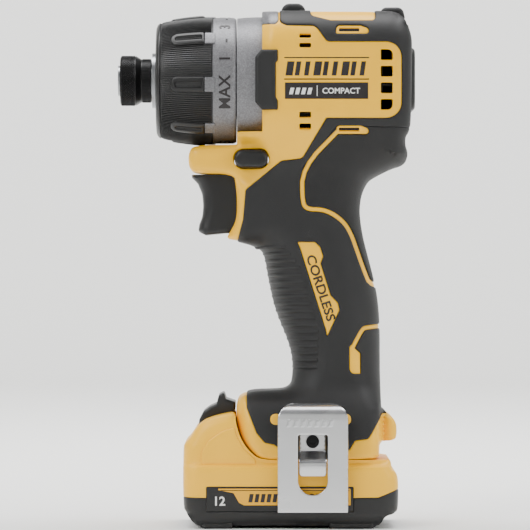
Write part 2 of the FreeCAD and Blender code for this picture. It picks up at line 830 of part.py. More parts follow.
def stage_places():
    """Front of plate, gears and ring for the output stage and then the first stage."""
    plate = PLATE_FRONT
    places = []
    ring = RING_FRONT
    for _ in range(2):
        gears = plate + S.plate_thickness + 0.3
        ring_end = gears + S.gear_face + 1.35
        places.append((plate, gears, ring, ring_end))
        ring, plate = ring_end + 0.2, ring_end + 0.15
    return places


def build_gears():
    sun, planet = int(S.sun_teeth), int(S.planet_teeth)
    ring = sun + 2 * planet
    orbit = S.gear_module * (sun + planet) / 2
    pin_length = S.gear_face + 0.9
    plate_radius = S.gear_module * ring / 2 - 1.1
    out, first = stage_places()
    for name, (plate, gears, ring_start, ring_end) in (("output", out), ("first", first)):
        solid = ring_solid(ring, ring_end - ring_start, S.ring_radius)
        node(f"{name}_ring_gear", on_axis(solid, ring_start))
        for i in range(PLANETS):
            turn = 360.0 / PLANETS * i
            gear = gear_solid(planet, S.gear_face, S.planet_pin + S.running_gap)
            gap_to_sun = turn + 180.0 / planet
            node(f"{name}_planet_{'abc'[i]}", on_axis(gear, gears, turn, orbit, gap_to_sun))
    # the first carrier has the second sun on its front
    plate, gears = first[0], first[1]
    pins = carrier_pins(plate + S.plate_thickness - 0.1, pin_length + 0.3, orbit)
    disc = rod(plate_radius, "plate_thickness", plate)
    second_sun = on_axis(gear_solid(sun, plate - out[1] + 0.3), out[1] - 0.2)
    node("first_carrier", fuse(disc, second_sun, *pins))
    return orbit, plate_radius, pin_length


def carrier_pins(x, length, orbit):
    pins = []
    for i in range(PLANETS):
        turn = math.radians(360.0 / PLANETS * i)
        y, z = orbit * math.sin(turn), -orbit * math.cos(turn)
        pins.append(rod("planet_pin", length, x, y, f"axis_height + ({z})"))
    return pins


# ---------------------------------------------------------------------------------------------
# Spindle and chuck
# ---------------------------------------------------------------------------------------------
TIP = "(head_front - tip_reach)"
SLEEVE_FRONT = f"({TIP} + 1.0)"
SLEEVE_BACK = f"({SLEEVE_FRONT} + sleeve_length)"
BALL_PLACE = f"({TIP} + 8.9)"
BALL_RISE = "(core_radius - 0.95)"


def helix_spring(mean_radius, wire, length, turns, x, turn=ALONG_X, y=0.0, z=None):
    pitch = (length - wire) / turns
    path = Part.makeHelix(pitch, pitch * turns, mean_radius)
    section = Part.Wire(Part.makeCircle(wire / 2, Vector(mean_radius, 0, 0), Vector(0, 1, 0)))
    spring = Part.Wire(path.Edges).makePipeShell([section], True, True)
    obj = fixed(spring)
    along = turn.multVec(Vector(0, 0, 1)) * (wire / 2)
    obj.Placement = Placement(Vector(x, y, S.axis_height if z is None else z) + along, turn)
    return obj


def build_spindle(orbit, plate_radius, pin_length):
    back_end = stage_places()[0][0]
    turned_part = turned([
        (TIP, "0"), (TIP, "core_radius"), (f"{SLEEVE_BACK} - 1.6", "core_radius"),
        (f"{SLEEVE_BACK} - 1.6", "journal_radius"), (back_end, "journal_radius"),
        (back_end, plate_radius), (back_end + S.plate_thickness, plate_radius),
        (back_end + S.plate_thickness, "0"),
    ])
    socket = doc.addObject("Part::Prism", "hex_socket")
    socket.Polygon = 6
    bind(socket, Circumradius="hex_flats / sqrt(3)", Height="hex_depth + 1")
    place(socket, ALONG_X.multiply(Rotation(Vector(0, 0, 1), 30)), f"{TIP} - 1", "0", "axis_height")
    ball_hole = rod("lock_ball + 0.04", "core_radius + 1", BALL_PLACE, "0", "axis_height + 1.5", ALONG_Z)
    pins = carrier_pins(back_end + S.plate_thickness - 0.1, pin_length, orbit)
    node("output_spindle", cut(fuse(turned_part, *pins), socket, ball_hole))
    node("chuck_end_cap", tube("tip_radius", "core_radius", "1.6", TIP))
    node("lock_ball", ball("lock_ball", BALL_PLACE, "0", f"axis_height + {BALL_RISE}"))

    land = "core_radius + 0.67"         # sleeve's radius over the ball at rest
    node("chuck_sleeve", turned([
        (SLEEVE_FRONT, "tip_radius + 0.2"), (SLEEVE_FRONT, "sleeve_radius - 0.8"),
        (f"{SLEEVE_FRONT} + 0.8", "sleeve_radius"), (f"{SLEEVE_FRONT} + 6.7", "sleeve_radius"),
        (f"{SLEEVE_FRONT} + 9.2", "sleeve_neck"), (SLEEVE_BACK, "sleeve_neck"),
        (SLEEVE_BACK, "journal_radius + 0.4"), (f"{BALL_PLACE} + 2.4", "journal_radius + 0.4"),
        (f"{BALL_PLACE} + 2.4", f"{land} + 0.6"), (f"{BALL_PLACE} - 1.6", f"{land} - 0.4"),
        (f"{BALL_PLACE} - 2.1", f"{land} - 0.52"), (f"{BALL_PLACE} - 2.1", "tip_radius + 0.2"),
    ]))
    start = value_of(f"{TIP} + 1.7")
    length = value_of(f"{BALL_PLACE} - 2.2") - start
    node("sleeve_spring", helix_spring(S.core_radius + 1.0, 0.8, length, 4, start))


# ---------------------------------------------------------------------------------------------
# Gear case, nose, clutch and dial
# ---------------------------------------------------------------------------------------------
NOSE_FRONT = "(head_front - nose_length)"
SCALE_BACK = f"({NOSE_FRONT} - 0.3)"
SCALE_FRONT = f"({SCALE_BACK} - scale_length)"
GRIP_FRONT = f"({SCALE_FRONT} - grip_ring_length)"
WEB_FRONT = "(-3.4)"
DIAL_BORE = "(dial_radius - dial_wall - 1.6)"
TABS = 8
LUGS = 3


def build_case_and_clutch():
    case_radius = "ring_radius + case_wall"
    case_back = stage_places()[1][3] + 0.2
    bore = "bush_radius + 0.02"
    tube_front = f"{GRIP_FRONT} - 0.3"
    body = turned([
        (tube_front, bore), (tube_front, "tube_radius"), (WEB_FRONT, "tube_radius"),
        (WEB_FRONT, case_radius), (case_back, case_radius), (case_back, "ring_radius + running_gap"),
        ("0.2", "ring_radius + running_gap"), ("0.2", bore),
    ])
    holes, balls = [], []
    for i in range(6):
        turn = math.radians(60 * i)
        y = f"clutch_ball_circle * {math.sin(turn)}"
        z = f"axis_height + clutch_ball_circle * {math.cos(turn)}"
        holes.append(rod("clutch_ball + 0.12", "6", "-4.5", y, z))
        balls.append(ball("clutch_ball", "-1.6", y, z))
    node("gear_case", cut(body, *holes))
    node("clutch_balls", group(*balls))
    node("clutch_washer", tube("ring_radius - 0.4", "clutch_ball_circle - 4", "1.5", "-5.15"))
    node("nose_cover", turned([
        (NOSE_FRONT, f"{case_radius} + 0.1"), (NOSE_FRONT, "dial_radius - 0.6"),
        (f"{NOSE_FRONT} + 4", "dial_radius - 0.2"), ("head_front - 2", "dial_radius"),
        ("head_front", "dial_radius"), ("head_front", f"{case_radius} + 2.4"),
        ("head_front + 5.4", f"{case_radius} + 2.4"), ("head_front + 5.4", f"{case_radius} + 0.1"),
    ]))
    node("spindle_bush", tube("bush_radius", "journal_radius + running_gap", "11.6", f"{GRIP_FRONT} - 1.9"))
    node("spindle_bearing", bearing("bush_radius", "journal_radius + running_gap", 5.6, -11.0))
    node("dial_retaining_ring",
         tube("tube_radius + 1.7", "bush_radius + 0.05", "1.6", f"{GRIP_FRONT} - 1.9"))

    # the dial: rubber-faced grip ring and printed scale ring, locked together by eight tabs
    grip = turned([
        (GRIP_FRONT, "tube_radius + 0.3"), (GRIP_FRONT, "dial_radius - 4.6"),
        (f"{GRIP_FRONT} + 1.4", "dial_radius - 2.8"), (f"{GRIP_FRONT} + 9", "dial_radius - 1.2"),
        (f"{GRIP_FRONT} + 19", "dial_radius"), (SCALE_FRONT, "dial_radius"), (SCALE_FRONT, DIAL_BORE),
        (f"{GRIP_FRONT} + 2.2", DIAL_BORE), (f"{GRIP_FRONT} + 2.2", "tube_radius + 0.3"),
    ])
    scale = tube("dial_radius - 0.9", DIAL_BORE, "scale_length", SCALE_FRONT)
    tabs, notches, grooves = [], [], []
    for i in range(TABS):
        angle = 6.3 + 360.0 / TABS * i
        for length, tab, extra in ((3.1, tabs, 0.0), (3.3, notches, 0.15)):
            low = value_of("dial_radius - dial_wall") - extra
            piece = slab(-length, 0.1, low, S.dial_radius + (1.0 if extra else -0.9), 3.5 + extra)
            tab.append(round_axis(piece, value_of(SCALE_FRONT), 90 + angle))
    for i in range(LUGS):
        groove = slab(0, 40, 0, value_of(f"{DIAL_BORE} + 1.4"), 3.3)
        grooves.append(round_axis(groove, value_of(f"{GRIP_FRONT} + 2.2"), 360.0 / LUGS * i))
    node("dial_grip", cut(grip, *notches, *grooves))
    node("dial_scale_ring", cut(fuse(scale, *tabs), *grooves))

    lugs = []
    for i in range(LUGS):
        lug = slab(0, S.nut_thickness, S.tube_radius + 4, value_of(f"{DIAL_BORE} + 1.1"), 3.0)
        lugs.append(round_axis(lug, S.nut_front, 360.0 / LUGS * i))
    nut = tube(f"{DIAL_BORE} - 0.3", "tube_radius + running_gap", "nut_thickness", "nut_front")
    node("clutch_nut", fuse(nut, *lugs))
    start = S.nut_front + S.nut_thickness + 0.3
    node("clutch_spring", helix_spring(15.6, S.spring_wire, -5.2 - start, 5, start))


def bearing(outer, inner, length, x):
    """Two races and a ring of balls between them, as one group of solids."""
    length = float(length)
    out_r, in_r = value_of(outer), value_of(inner)
    middle, size = (out_r + in_r) / 2, (out_r - in_r) * 0.26
    outer_race = tube(outer, f"({middle}) + {size * 0.55}", length, x)
    inner_race = tube(f"({middle}) - {size * 0.55}", inner, length, x)
    groove = doc.addObject("Part::Torus", "groove")
    groove.Radius1, groove.Radius2 = middle, size * 1.04
    groove.Placement = Placement(Vector(x + length / 2, 0, S.axis_height), ALONG_X)
    bind(groove, Placement__Base__z="axis_height")
    balls = []
    for i in range(7):
        turn = 2 * math.pi * i / 7
        z = f"axis_height + {middle * math.cos(turn)}"
        balls.append(ball(size, x + length / 2, middle * math.sin(turn), z))
    return group(cut(outer_race, groove), cut(inner_race, groove), *balls)


# ---------------------------------------------------------------------------------------------
# Motor
# ---------------------------------------------------------------------------------------------
def motor_places():
    plate = stage_places()[1][3] + 0.2
    stator = plate + 7.4
    return plate, stator, stator + S.stator_length


def build_motor():
    plate, front, rear = motor_places()
    case_radius = "ring_radius + case_wall"
    node("motor_plate", tube(case_radius, "6.52", "3.0", plate))
    node("front_motor_bearing", bearing("6.5", "shaft_radius + 0.02", 2.8, plate + 0.1))
    node("sensor_board", tube("stator_radius - 1.5", "8", "1.2", plate + 3.9))
    teeth, gaps = [], []
    for i in range(6):
        tooth = slab(front, rear, S.stator_bore + 1.8, S.stator_radius - 2.0, 2.6)
        shoe = slab(front, rear, S.stator_bore - 0.5, S.stator_bore + 2.0, 4.6)
        gap = slab(front - 3, rear + 3, S.stator_bore, S.stator_radius - 2.2, 0.6)
        for piece, angle in ((tooth, 60 * i), (shoe, 60 * i), (gap, 60 * i + 30)):
            piece.rotate(Vector(), Vector(1, 0, 0), angle)
            piece.translate(Vector(0, 0, S.axis_height))
        teeth.append(tooth.fuse(shoe))
        gaps.append(gap)
    bore = axis_rod(S.stator_bore, front - 5, rear + 5)
    iron = teeth[0].multiFuse(teeth[1:])
    stack = axis_rod(S.stator_radius, front, rear).cut(axis_rod(S.stator_radius - 2.2, front - 1, rear + 1))
    node("stator_core", fixed(stack.fuse(iron).cut(bore)))
    coil = axis_rod(S.stator_radius - 2.5, front - 1.8, rear + 1.8)
    coil = coil.cut(axis_rod(S.stator_bore + 2.1, front - 3, rear + 3)).cut(gaps[0].multiFuse(gaps[1:]))
    limbs = []
    for i in range(6):
        limb = slab(front - 0.1, rear + 0.1, 0, S.stator_radius, 2.7)
        limb.rotate(Vector(), Vector(1, 0, 0), 60 * i)
        limb.translate(Vector(0, 0, S.axis_height))
        limbs.append(limb)
    node("stator_windings", fixed(coil.cut(limbs[0].multiFuse(limbs[1:])).cut(iron)))

    # rotor: shaft with the sun pinion on its front, magnet core and fan
    sun = int(S.sun_teeth)
    gears = stage_places()[1][1]
    pinion = on_axis(gear_solid(sun, plate - gears - 0.2), gears)
    shaft = rod("shaft_radius", f"head_back - ({gears}) - 0.6", gears)
    node("motor_shaft", fuse(shaft, pinion))
    node("rotor_core", tube("stator_bore - air_gap", "shaft_radius", "stator_length", front))
    fan_front = rear + 2.6
    hub = axis_rod(5.0, fan_front, fan_front + 5.6)
    disc = axis_rod(S.fan_radius, fan_front, fan_front + 1.2)
    blades = []
    for i in range(11):
        blade = slab(fan_front, fan_front + 5.0, 4.0, S.fan_radius, 0.45)
        blade.rotate(Vector(), Vector(1, 0, 0), 360.0 / 11 * i)
        blade.translate(Vector(0, 0, S.axis_height))
        blades.append(blade)
    fan = disc.fuse(hub).multiFuse(blades).cut(axis_rod(S.shaft_radius, fan_front - 1, fan_front + 8))
    node("motor_fan", fixed(fan.removeSplitter()))
    bearing_x = value_of("head_back - 5.2")
    node("rear_motor_bearing", bearing("5.5", "shaft_radius + 0.02", 3.0, bearing_x))


# ---------------------------------------------------------------------------------------------
# Trigger, switch, direction bar, electronics
# ---------------------------------------------------------------------------------------------
def run_path(points):
    """Straight runs joined by tangent arcs, each as large as its two runs allow."""
    at = [Vector(*point) for point in points]
    edges, start = [], at[0]
    for before, here, after in zip(at, at[1:], at[2:]):
        into, out = here - before, after - here
        half = into.getAngle(out) / 2
        reach = RUN_SHARE * min(into.Length, out.Length)
        first, last = here - into.normalize() * reach, here + out.normalize() * reach
        radius = reach / math.tan(half)
        inwards = (first + last - here * 2).normalize()
        middle = here + inwards * (radius / math.cos(half) - radius)
        edges += [Part.makeLine(start, first), Part.Arc(first, middle, last).toShape()]
        start = last
    edges.append(Part.makeLine(start, at[-1]))
    return Part.Wire(edges)


RUN_SHARE = 0.45


def lead(points, radius):
    """A wire of the given radius along a run path."""
    start = Vector(*points[0])
    section = Part.Wire(Part.makeCircle(radius, start, Vector(*points[1]) - start))
    return run_path(points).makePipeShell([section], True, True)


def build_controls():
    trigger = padded([
        ("-32.7", lift(153.4)), ("-29.6", lift(149.6)), ("-27.8", lift(145.0)), ("-27.5", lift(140.0)),
        ("-28.0", lift(135.4)), ("-29.4", lift(131.0)), ("-29.5", lift(128.6)), ("-26.4", lift(127.0)),
        ("-17.4", lift(127.9)), ("-8", lift(128.4)), ("-8", lift(153.6)),
    ], "trigger_width")
    plunger_z = lift(142.0)
    node("trigger", fuse(trigger, rod("2.4", "14.5", "-8.5", "0", plunger_z)))
    switch_low, switch_high = lift(132.0), lift(152.0)
    switch = block("26", "17", switch_high - switch_low, "4.6", "0", switch_low)
    bore = rod("2.7", "10.4", "4", "0", plunger_z)
    node("trigger_switch", cut(switch, bore))
    node("trigger_spring", helix_spring(3.6, 0.8, 12.2, 5, -7.9, z=plunger_z))
    x, z = direction_bar_place()
    width = 1.16 * S.grip_width + 3.2
    node("direction_bar", fixed(bar_prism(x, z, S.bar_length / 2, S.bar_height / 2, width)))

    module_low = lift(66.5)
    tray = block("19.5", "22", lift(104.0) - module_low, "20.5", "0", module_low)
    well = block("18", "19.4", lift(104.0) - module_low - 3, "24", "0", module_low + 1.5)
    board = block("1.6", "19", lift(104.0) - module_low - 4, "25.5", "0", module_low + 2)
    chips = [block("3", "5", "5", "27.1", y, module_low + 6 + 9 * i) for i in range(3) for y in ("-6", "6")]
    node("control_module", fuse(cut(tray, well), block("2", "20.6", "6", "23.6", "0", module_low + 8),
                                board, *chips))
    leads = []
    for y in (-4.0, 0.0, 4.0):
        leads.append(lead([
            (33.0, y, lift(104.1)), (35.0, y, lift(118.0)), (35.2, y, lift(134.0)),
            (34.6, y, lift(149.0)), (30.5, y, lift(158.0)), (26.0, y, up(-30.0)), (25.4, y, up(-18.9)),
        ], 0.9))
    node("motor_leads", fixed(Part.makeCompound(leads)))
    base = S.foot_base
    leads = []
    for y in (-7.2, 7.2):
        leads.append(lead([
            (38.0, y, base + 15.4), (41.6, y, base + 24.0), (43.4, y, lift(70.0)), (43.6, y, lift(88.0)),
            (42.2, y, lift(106.0)), (37.0, y, lift(118.0)), (28.0, y, lift(124.4)), (26.0, y, lift(131.4)),
        ], 1.1))
    node("battery_leads", fixed(Part.makeCompound(leads)))

    block_low = "foot_base + 3.4"
    body = block("10", "28", "7.2", "30.4", "0", block_low)
    stem = block("7.8", "15.6", "5", "33.3", "0", "foot_base + 9.8")
    blades = [block("14.7", "0.8", "4", "15.8", y, "foot_base + 4.9") for y in CONTACT_ROWS]
    node("terminal_block", fuse(body, stem, *blades))


CONTACT_ROWS = ("-10", "-3.6", "3.6", "10")


# ---------------------------------------------------------------------------------------------
# Battery pack
# ---------------------------------------------------------------------------------------------
def pack_form(rows, off, cap_low, cap_high):
    """A loft of rounded sections; rows are (height, front, rear, share of half width)."""
    sections = []
    for i, (z, front, rear, share) in enumerate(rows):
        half = share * S.pack_width / 2 + off
        z = z - cap_low if i == 0 else z + cap_high if i == len(rows) - 1 else z
        sections.append(oval_section(z, front - off, rear + off, half, 0.24))
    return Part.makeLoft(sections, True, True)


def front_x(x):
    """A place at the pack's front, which moves with it."""
    return x + S.pack_front + 35.9


def rear_x(x):
    return x + S.pack_back - 57.4


def base_rows():
    return [(S.foot_height, front_x(-31.0), rear_x(50.0), 0.90), (7.0, front_x(-34.4), rear_x(51.0), 1.0),
            (9.4, S.pack_front, rear_x(57.0), 1.0), (S.pack_split - 0.05, S.pack_front, S.pack_back, 1.0)]


def cover_rows():
    top = S.foot_base - 0.5
    return [(S.pack_split + 0.05, S.pack_front, S.pack_back, 1.0),
            (top - 5.5, S.pack_front, rear_x(56.0), 1.0), (top, S.pack_front + 0.4, rear_x(53.0), 0.97)]


def tower_outline():
    rise = S.foot_base - 30.2
    points = [(-35.8, 26.0, 0), (-35.8, 36.4, 1.5), (-33.2, 38.9, 1.0), (-30.2, 45.0, 3.0),
              (-23.3, 48.2, 8.0), (-13.2, 50.4, 0.4), (-3.0, 50.4, 0), (-3.0, 26.0, 0)]
    return [(front_x(x) if x < -14 else x, z + rise, r) for x, z, r in points]


def label_plate_outline():
    return [(front_x(-25.8), S.pack_split - 6.8, 0.6), (37.8, S.pack_split - 6.8, 0.6),
            (37.8, S.pack_split + 3.8, 0.6), (front_x(-25.8), S.pack_split + 3.8, 0.6)]


def button_outline():
    rise = S.foot_base - 30.2
    points = [(-29.4, 42.6, 0.5), (-29.4, 46.6, 3.0), (-24.6, 52.2, 4.0), (-21.6, 53.6, 0.6),
              (-20.6, 57.4, 1.2), (-18.3, 58.6, 0.8), (-17.2, 55.6, 1.0), (-13.8, 54.0, 0.5),
              (-13.8, 42.6, 0.5)]
    return [(front_x(x) if x < -20 else x, z + rise, r) for x, z, r in points]


def build_pack():
    base, wall = S.foot_base, S.pack_wall
    half = S.pack_width / 2
    # base tray
    tray = pack_form(base_rows(), 0.0, 0.0, 0.0)
    hollow_rows = [(4.2, front_x(-30.4), rear_x(49.6), 0.90)] + base_rows()[1:]
    tray = tray.cut(pack_form(hollow_rows, -wall, 0.0, 2.0))
    feet = []
    for x_low, x_high in ((front_x(-27.9), front_x(-15.9)), (rear_x(28.0), rear_x(46.6))):
        for y in (-0.52 * half, 0.52 * half):
            foot = slab(x_low, x_high, 0.0, 2.6, 0.28 * half, y)
            feet.append(foot.makeFillet(0.9, [e for e in foot.Edges if e.BoundBox.ZMax < 0.01]))
    posts, screws = [], []
    for x in (front_x(-27.6), rear_x(45.6)):
        for y in (-0.68 * half, 0.68 * half):
            posts.append(Part.makeCylinder(2.7, S.pack_split - 3.05, Vector(x, y, 3.0)))
            screws.append((x, y))
    tray = tray.multiFuse(feet + posts)
    for x, y in screws:
        tray = tray.cut(Part.makeCylinder(1.4, 40, Vector(x, y, -1)))
        tray = tray.cut(Part.makeCylinder(2.3, 3.9, Vector(x, y, 0.5)))
    plates = side_plate(0.15)
    tray = tray.cut(plates).cut(mirrored(plates))
    node("pack_base", fixed(tray))

    # cover with the front tower and the T-shaped tongue
    cover = pack_form(cover_rows(), 0.0, 0.0, 0.0)
    tower_half = 0.9 * half
    tower = prism(tower_outline(), -tower_half, tower_half)
    top_edges = [e for e in tower.Edges if tower_rim(e, tower_half, base)]
    tower = tower.makeFillet(4.0, top_edges)
    tower = tower.cut(foot_solid(S.slide_gap)).cut(slab(-13.2, 20, base - 0.5, 90, 60))
    cavity = pack_form(cover_rows(), -wall, 2.0, 0.0)
    cover = cover.fuse(tower).cut(cavity.common(slab(front_x(-33.6), 80, 0, base - 2.8, 60)))
    half_rail, half_neck = S.rail_width / 2, S.rail_neck / 2
    tongue = slab(-16.0, 26.0, base + 3.5, base + 10.3, half_rail)
    neck = slab(-16.0, 26.0, base - 2.0, base + 3.6, half_neck)
    cover = cover.multiFuse([tongue, neck])
    for y in CONTACT_ROWS:
        cover = cover.cut(slab(11.0, 26.1, base + 4.3, base + 9.5, 1.3, float(y)))
    pocket = side_slab(front_x(-29.8), -13.4, base + 8.2, base + 60, -14.4, 14.4)
    cover = cover.cut(pocket).cut(plates).cut(mirrored(plates))
    for x, y in screws:
        post = Part.makeCylinder(2.7, base - 2.6 - S.pack_split, Vector(x, y, S.pack_split + 0.05))
        cover = cover.fuse(post).cut(Part.makeCylinder(1.25, 6.4, Vector(x, y, S.pack_split - 1)))
    node("pack_cover", fixed(largest(cover)))
    left = side_plate(0.0)
    node("pack_labels", fixed(Part.makeCompound([left, mirrored(left)])))

    node("pack_screws", group(*[
        fuse(rod("1.2", "17", x, y, "2.9", ALONG_Z), rod("2.2", "1.5", x, y, "2.9", ALONG_Z))
        for x, y in screws]))
    pitch = "2 * cell_radius + 0.4"
    cell_x, cell_z = front_x(-22.4), "cell_radius + 4.5"
    cells = [
        fuse(rod("cell_radius", "cell_length", cell_x, f"({i}) * ({pitch})", cell_z),
             rod("3.2", "0.8", f"{cell_x} - 0.8", f"({i}) * ({pitch})", cell_z)) for i in (-1, 0, 1)]
    straps = []
    for x, rows in ((f"{cell_x} - 1.1", (-1, 0)), (f"{cell_x} + cell_length", (0, 1))):
        straps.append(block("0.3", f"({pitch}) + 8", "7", x, f"({sum(rows) / 2}) * ({pitch})",
                            f"{cell_z} - 3.5"))
    node("cells", group(*cells, *straps))
    board = block("54", "46", "1.4", front_x(-20.0), "0", "2 * cell_radius + 5.4")
    clips = []
    for y in CONTACT_ROWS:
        for side in (-1, 1):
            clips.append(block("9", "0.3", "4.4", "12", f"{y} + {side * 0.75}", "foot_base + 4.7"))
    node("contact_board", group(board, *clips))

    node("release_button", fixed(prism(button_outline(), -13.9, 13.9)))
    low = base + 8.25
    node("button_spring", helix_spring(2.8, 0.7, 4.0, 3, front_x(-22.0), ALONG_Z, z=low))


def tower_rim(edge, half, base):
    """True for the tower's long top edges on each side."""
    box = edge.BoundBox
    on_side = abs(abs(box.YMin) - half) < 1e-3 and box.YLength < 1e-3
    return on_side and box.ZMin > base + 6.0 and box.XMax < -3.0 and box.XLength > 0.5


def side_plate(gap):
    """The label plate on the pack's left side."""
    half = S.pack_width / 2
    outline = [(x + dx * gap, z + dz * gap, r) for (x, z, r), (dx, dz) in
               zip(label_plate_outline(), ((-1, -1), (1, -1), (1, 1), (-1, 1)))]
    return prism(outline, -half - gap - 0.01, -half + 0.7)


# ---------------------------------------------------------------------------------------------
# Belt hook
# ---------------------------------------------------------------------------------------------
def build_hook():
    x, z = hook_screw_place()
    pocket_face = -(S.foot_width / 2 - 4.4)
    sheet_half = S.hook_sheet / 2
    inner = pocket_face - sheet_half
    outer = -(S.pack_width / 2 + S.hook_gap + sheet_half)
    top, low = z + 16.8 - sheet_half, S.pack_split - 7.0
    reach = (inner - outer) / 2
    outer_path = [
        Part.makeLine(Vector(x, outer, low), Vector(x, outer, top - reach)),
        Part.Arc(Vector(x, outer, top - reach), Vector(x, (inner + outer) / 2, top),
                 Vector(x, inner, top - reach)).toShape(),
        Part.makeLine(Vector(x, inner, top - reach), Vector(x, inner, z - 1.0)),
    ]
    pack_side = -S.pack_width / 2
    curl = run_path([(x, inner, z - 0.9), (x, inner, z - 3.9), (x, pack_side - 2.9, z - 7.7),
                     (x, pack_side - 2.4, z - 14.6)])
    strap = sheet_sweep(Part.Wire(outer_path), S.hook_width)
    tongue = sheet_sweep(curl, 12.0)
    tongue_half = 6.2
    side = S.hook_width / 2 + 1
    for low_x, high_x in ((x - side, x - tongue_half), (x + tongue_half, x + side)):
        strap = strap.cut(side_slab(low_x, high_x, z - 10, top + 2, inner - 3.2, 0))
    window = prism([(x - 6.4, S.pack_split + 0.6, 6.3), (x + 6.4, S.pack_split + 0.6, 6.3),
                    (x + 6.4, z + 3.4, 0.8), (x - 6.4, z + 3.4, 0.8)], outer - 3, outer + 3)
    left, right, crown = x - S.hook_width / 2, x + S.hook_width / 2, top + sheet_half
    corners = prism([(left, low - 5, 0), (right, low - 5, 0), (right, crown, 6.5), (left, crown, 6.5)],
                    outer - 6, inner + 6)
    screw_hole = Part.makeCylinder(S.hook_screw + 0.2, 6, Vector(x, inner - 3, z), Vector(0, 1, 0))
    strap = strap.common(corners).fuse(tongue).cut(window).cut(screw_hole)
    node("belt_hook", fixed(largest(strap)))
    rail_side = "rail_width / 2 + slide_gap + 2.3"
    reach = f"foot_width / 2 - 4.4 + hook_sheet - ({rail_side})"
    shank = rod("hook_screw - 0.02", reach, x, pocket_face - S.hook_sheet, z, ALONG_Y)
    head = rod("hook_screw + 0.8", "2.2", x, pocket_face - S.hook_sheet - 2.2, z, ALONG_Y)
    drive = rod("1.5", "1.5", x, pocket_face - S.hook_sheet - 2.3, z, ALONG_Y)
    node("hook_screw", cut(fuse(shank, head), drive))


def sheet_sweep(path, width):
    """A strip of the hook's sheet, swept along a path in a plane of constant x."""
    start = path.OrderedEdges[0]
    along = start.tangentAt(start.FirstParameter)
    side = along.cross(Vector(1, 0, 0)).normalize() * (S.hook_sheet / 2)
    at, half = start.valueAt(start.FirstParameter), Vector(width / 2, 0, 0)
    corners = [at - half - side, at + half - side, at + half + side, at - half + side]
    return path.makePipeShell([Part.makePolygon(corners + [corners[0]])], True, False)


# ---------------------------------------------------------------------------------------------
# Build, check, write
# ---------------------------------------------------------------------------------------------
build_shells()
build_housing_screws()
build_spindle(*build_gears())
build_case_and_clutch()
build_motor()
build_controls()
build_pack()
build_hook()
doc.recompute()

for obj in doc.Objects:
    if {"Invalid", "Error"} & set(obj.State):
        raise RuntimeError(f"{obj.Label} failed to build")
for label, obj in nodes.items():
    if obj.Shape.isNull() or not obj.Shape.isValid() or not obj.Shape.Solids:
        raise RuntimeError(f"{label} has no valid solid")
for label, obj in nodes.items():
    obj.Shape.exportStep(f"parts/{label}.step")
print(len(nodes), "nodes written")
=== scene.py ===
import json
import logging
import math
from dataclasses import dataclass, field
from enum import Enum
from typing import Callable, Iterable, Sequence

import bmesh
import bpy
import numpy as np
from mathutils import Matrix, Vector
from mathutils.geometry import delaunay_2d_cdt


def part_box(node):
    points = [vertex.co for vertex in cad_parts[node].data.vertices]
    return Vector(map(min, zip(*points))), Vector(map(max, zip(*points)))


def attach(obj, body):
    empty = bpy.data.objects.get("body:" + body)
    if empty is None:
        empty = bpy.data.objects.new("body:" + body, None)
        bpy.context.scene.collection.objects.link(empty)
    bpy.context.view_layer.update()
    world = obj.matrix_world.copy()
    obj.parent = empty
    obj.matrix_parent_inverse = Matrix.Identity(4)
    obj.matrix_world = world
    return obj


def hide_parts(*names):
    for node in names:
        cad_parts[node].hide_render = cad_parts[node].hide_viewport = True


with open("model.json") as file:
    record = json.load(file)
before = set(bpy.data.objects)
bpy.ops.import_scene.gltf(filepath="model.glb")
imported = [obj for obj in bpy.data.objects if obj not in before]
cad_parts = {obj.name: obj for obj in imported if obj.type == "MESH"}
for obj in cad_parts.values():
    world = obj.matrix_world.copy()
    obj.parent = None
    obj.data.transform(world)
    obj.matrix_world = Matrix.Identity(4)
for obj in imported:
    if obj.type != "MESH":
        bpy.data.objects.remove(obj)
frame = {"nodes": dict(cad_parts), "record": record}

# A compact cordless driver: what its case, grip, dial, chuck, trigger, hook and pack look like.
# Sizes are millimetres in the part's frame; meshes are written in metres.

LOG = logging.getLogger("driver")
MM = 0.001
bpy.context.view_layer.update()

Point = tuple[float, float]
Array = np.ndarray


def spindle_height() -> float:
    """The height of the spindle's axis, from the nose's box."""
    low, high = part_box("nose_cover")
    return (low.z + high.z) / 2 / MM


AXIS = spindle_height()


def up(z: float) -> float:
    """A height beside the head, counted from the axis."""
    return AXIS + z


# ------------------------------------------------------------------------------------ node trees
def add_node(tree: bpy.types.NodeTree, kind: str, settings: dict, inputs: dict) -> bpy.types.Node:
    """Adds a node to a tree, sets it up and links it.

    Args:
        tree: The tree that gets the node.
        kind: The node's type name.
        settings: Attributes of the node.
        inputs: For each input's name or number, a value or the socket that feeds it.

    Returns:
        The node.
    """
    node = tree.nodes.new(kind)
    for key, value in settings.items():
        setattr(node, key, value)
    for key, value in inputs.items():
        if isinstance(value, bpy.types.NodeSocket):
            tree.links.new(value, node.inputs[key])
        else:
            node.inputs[key].default_value = value
    return node


# ------------------------------------------------------------------------------------ finishes
def srgb(code: str) -> tuple[float, float, float, float]:
    """Turns a colour like "#fdb813" into linear values."""
    channels = []
    for start in (1, 3, 5):
        value = int(code[start:start + 2], 16) / 255
        linear = value / 12.92 if value <= 0.04045 else ((value + 0.055) / 1.055) ** 2.4
        channels.append(linear)
    return (*channels, 1.0)


class Grain(Enum):
    """How a surface's small relief runs: the stretch of its noise along X, Y and Z."""

    EVEN = (1.0, 1.0, 1.0)
    ALONG_Z = (1.0, 1.0, 0.06)
    ROUND_X = (1.0, 0.12, 0.12)


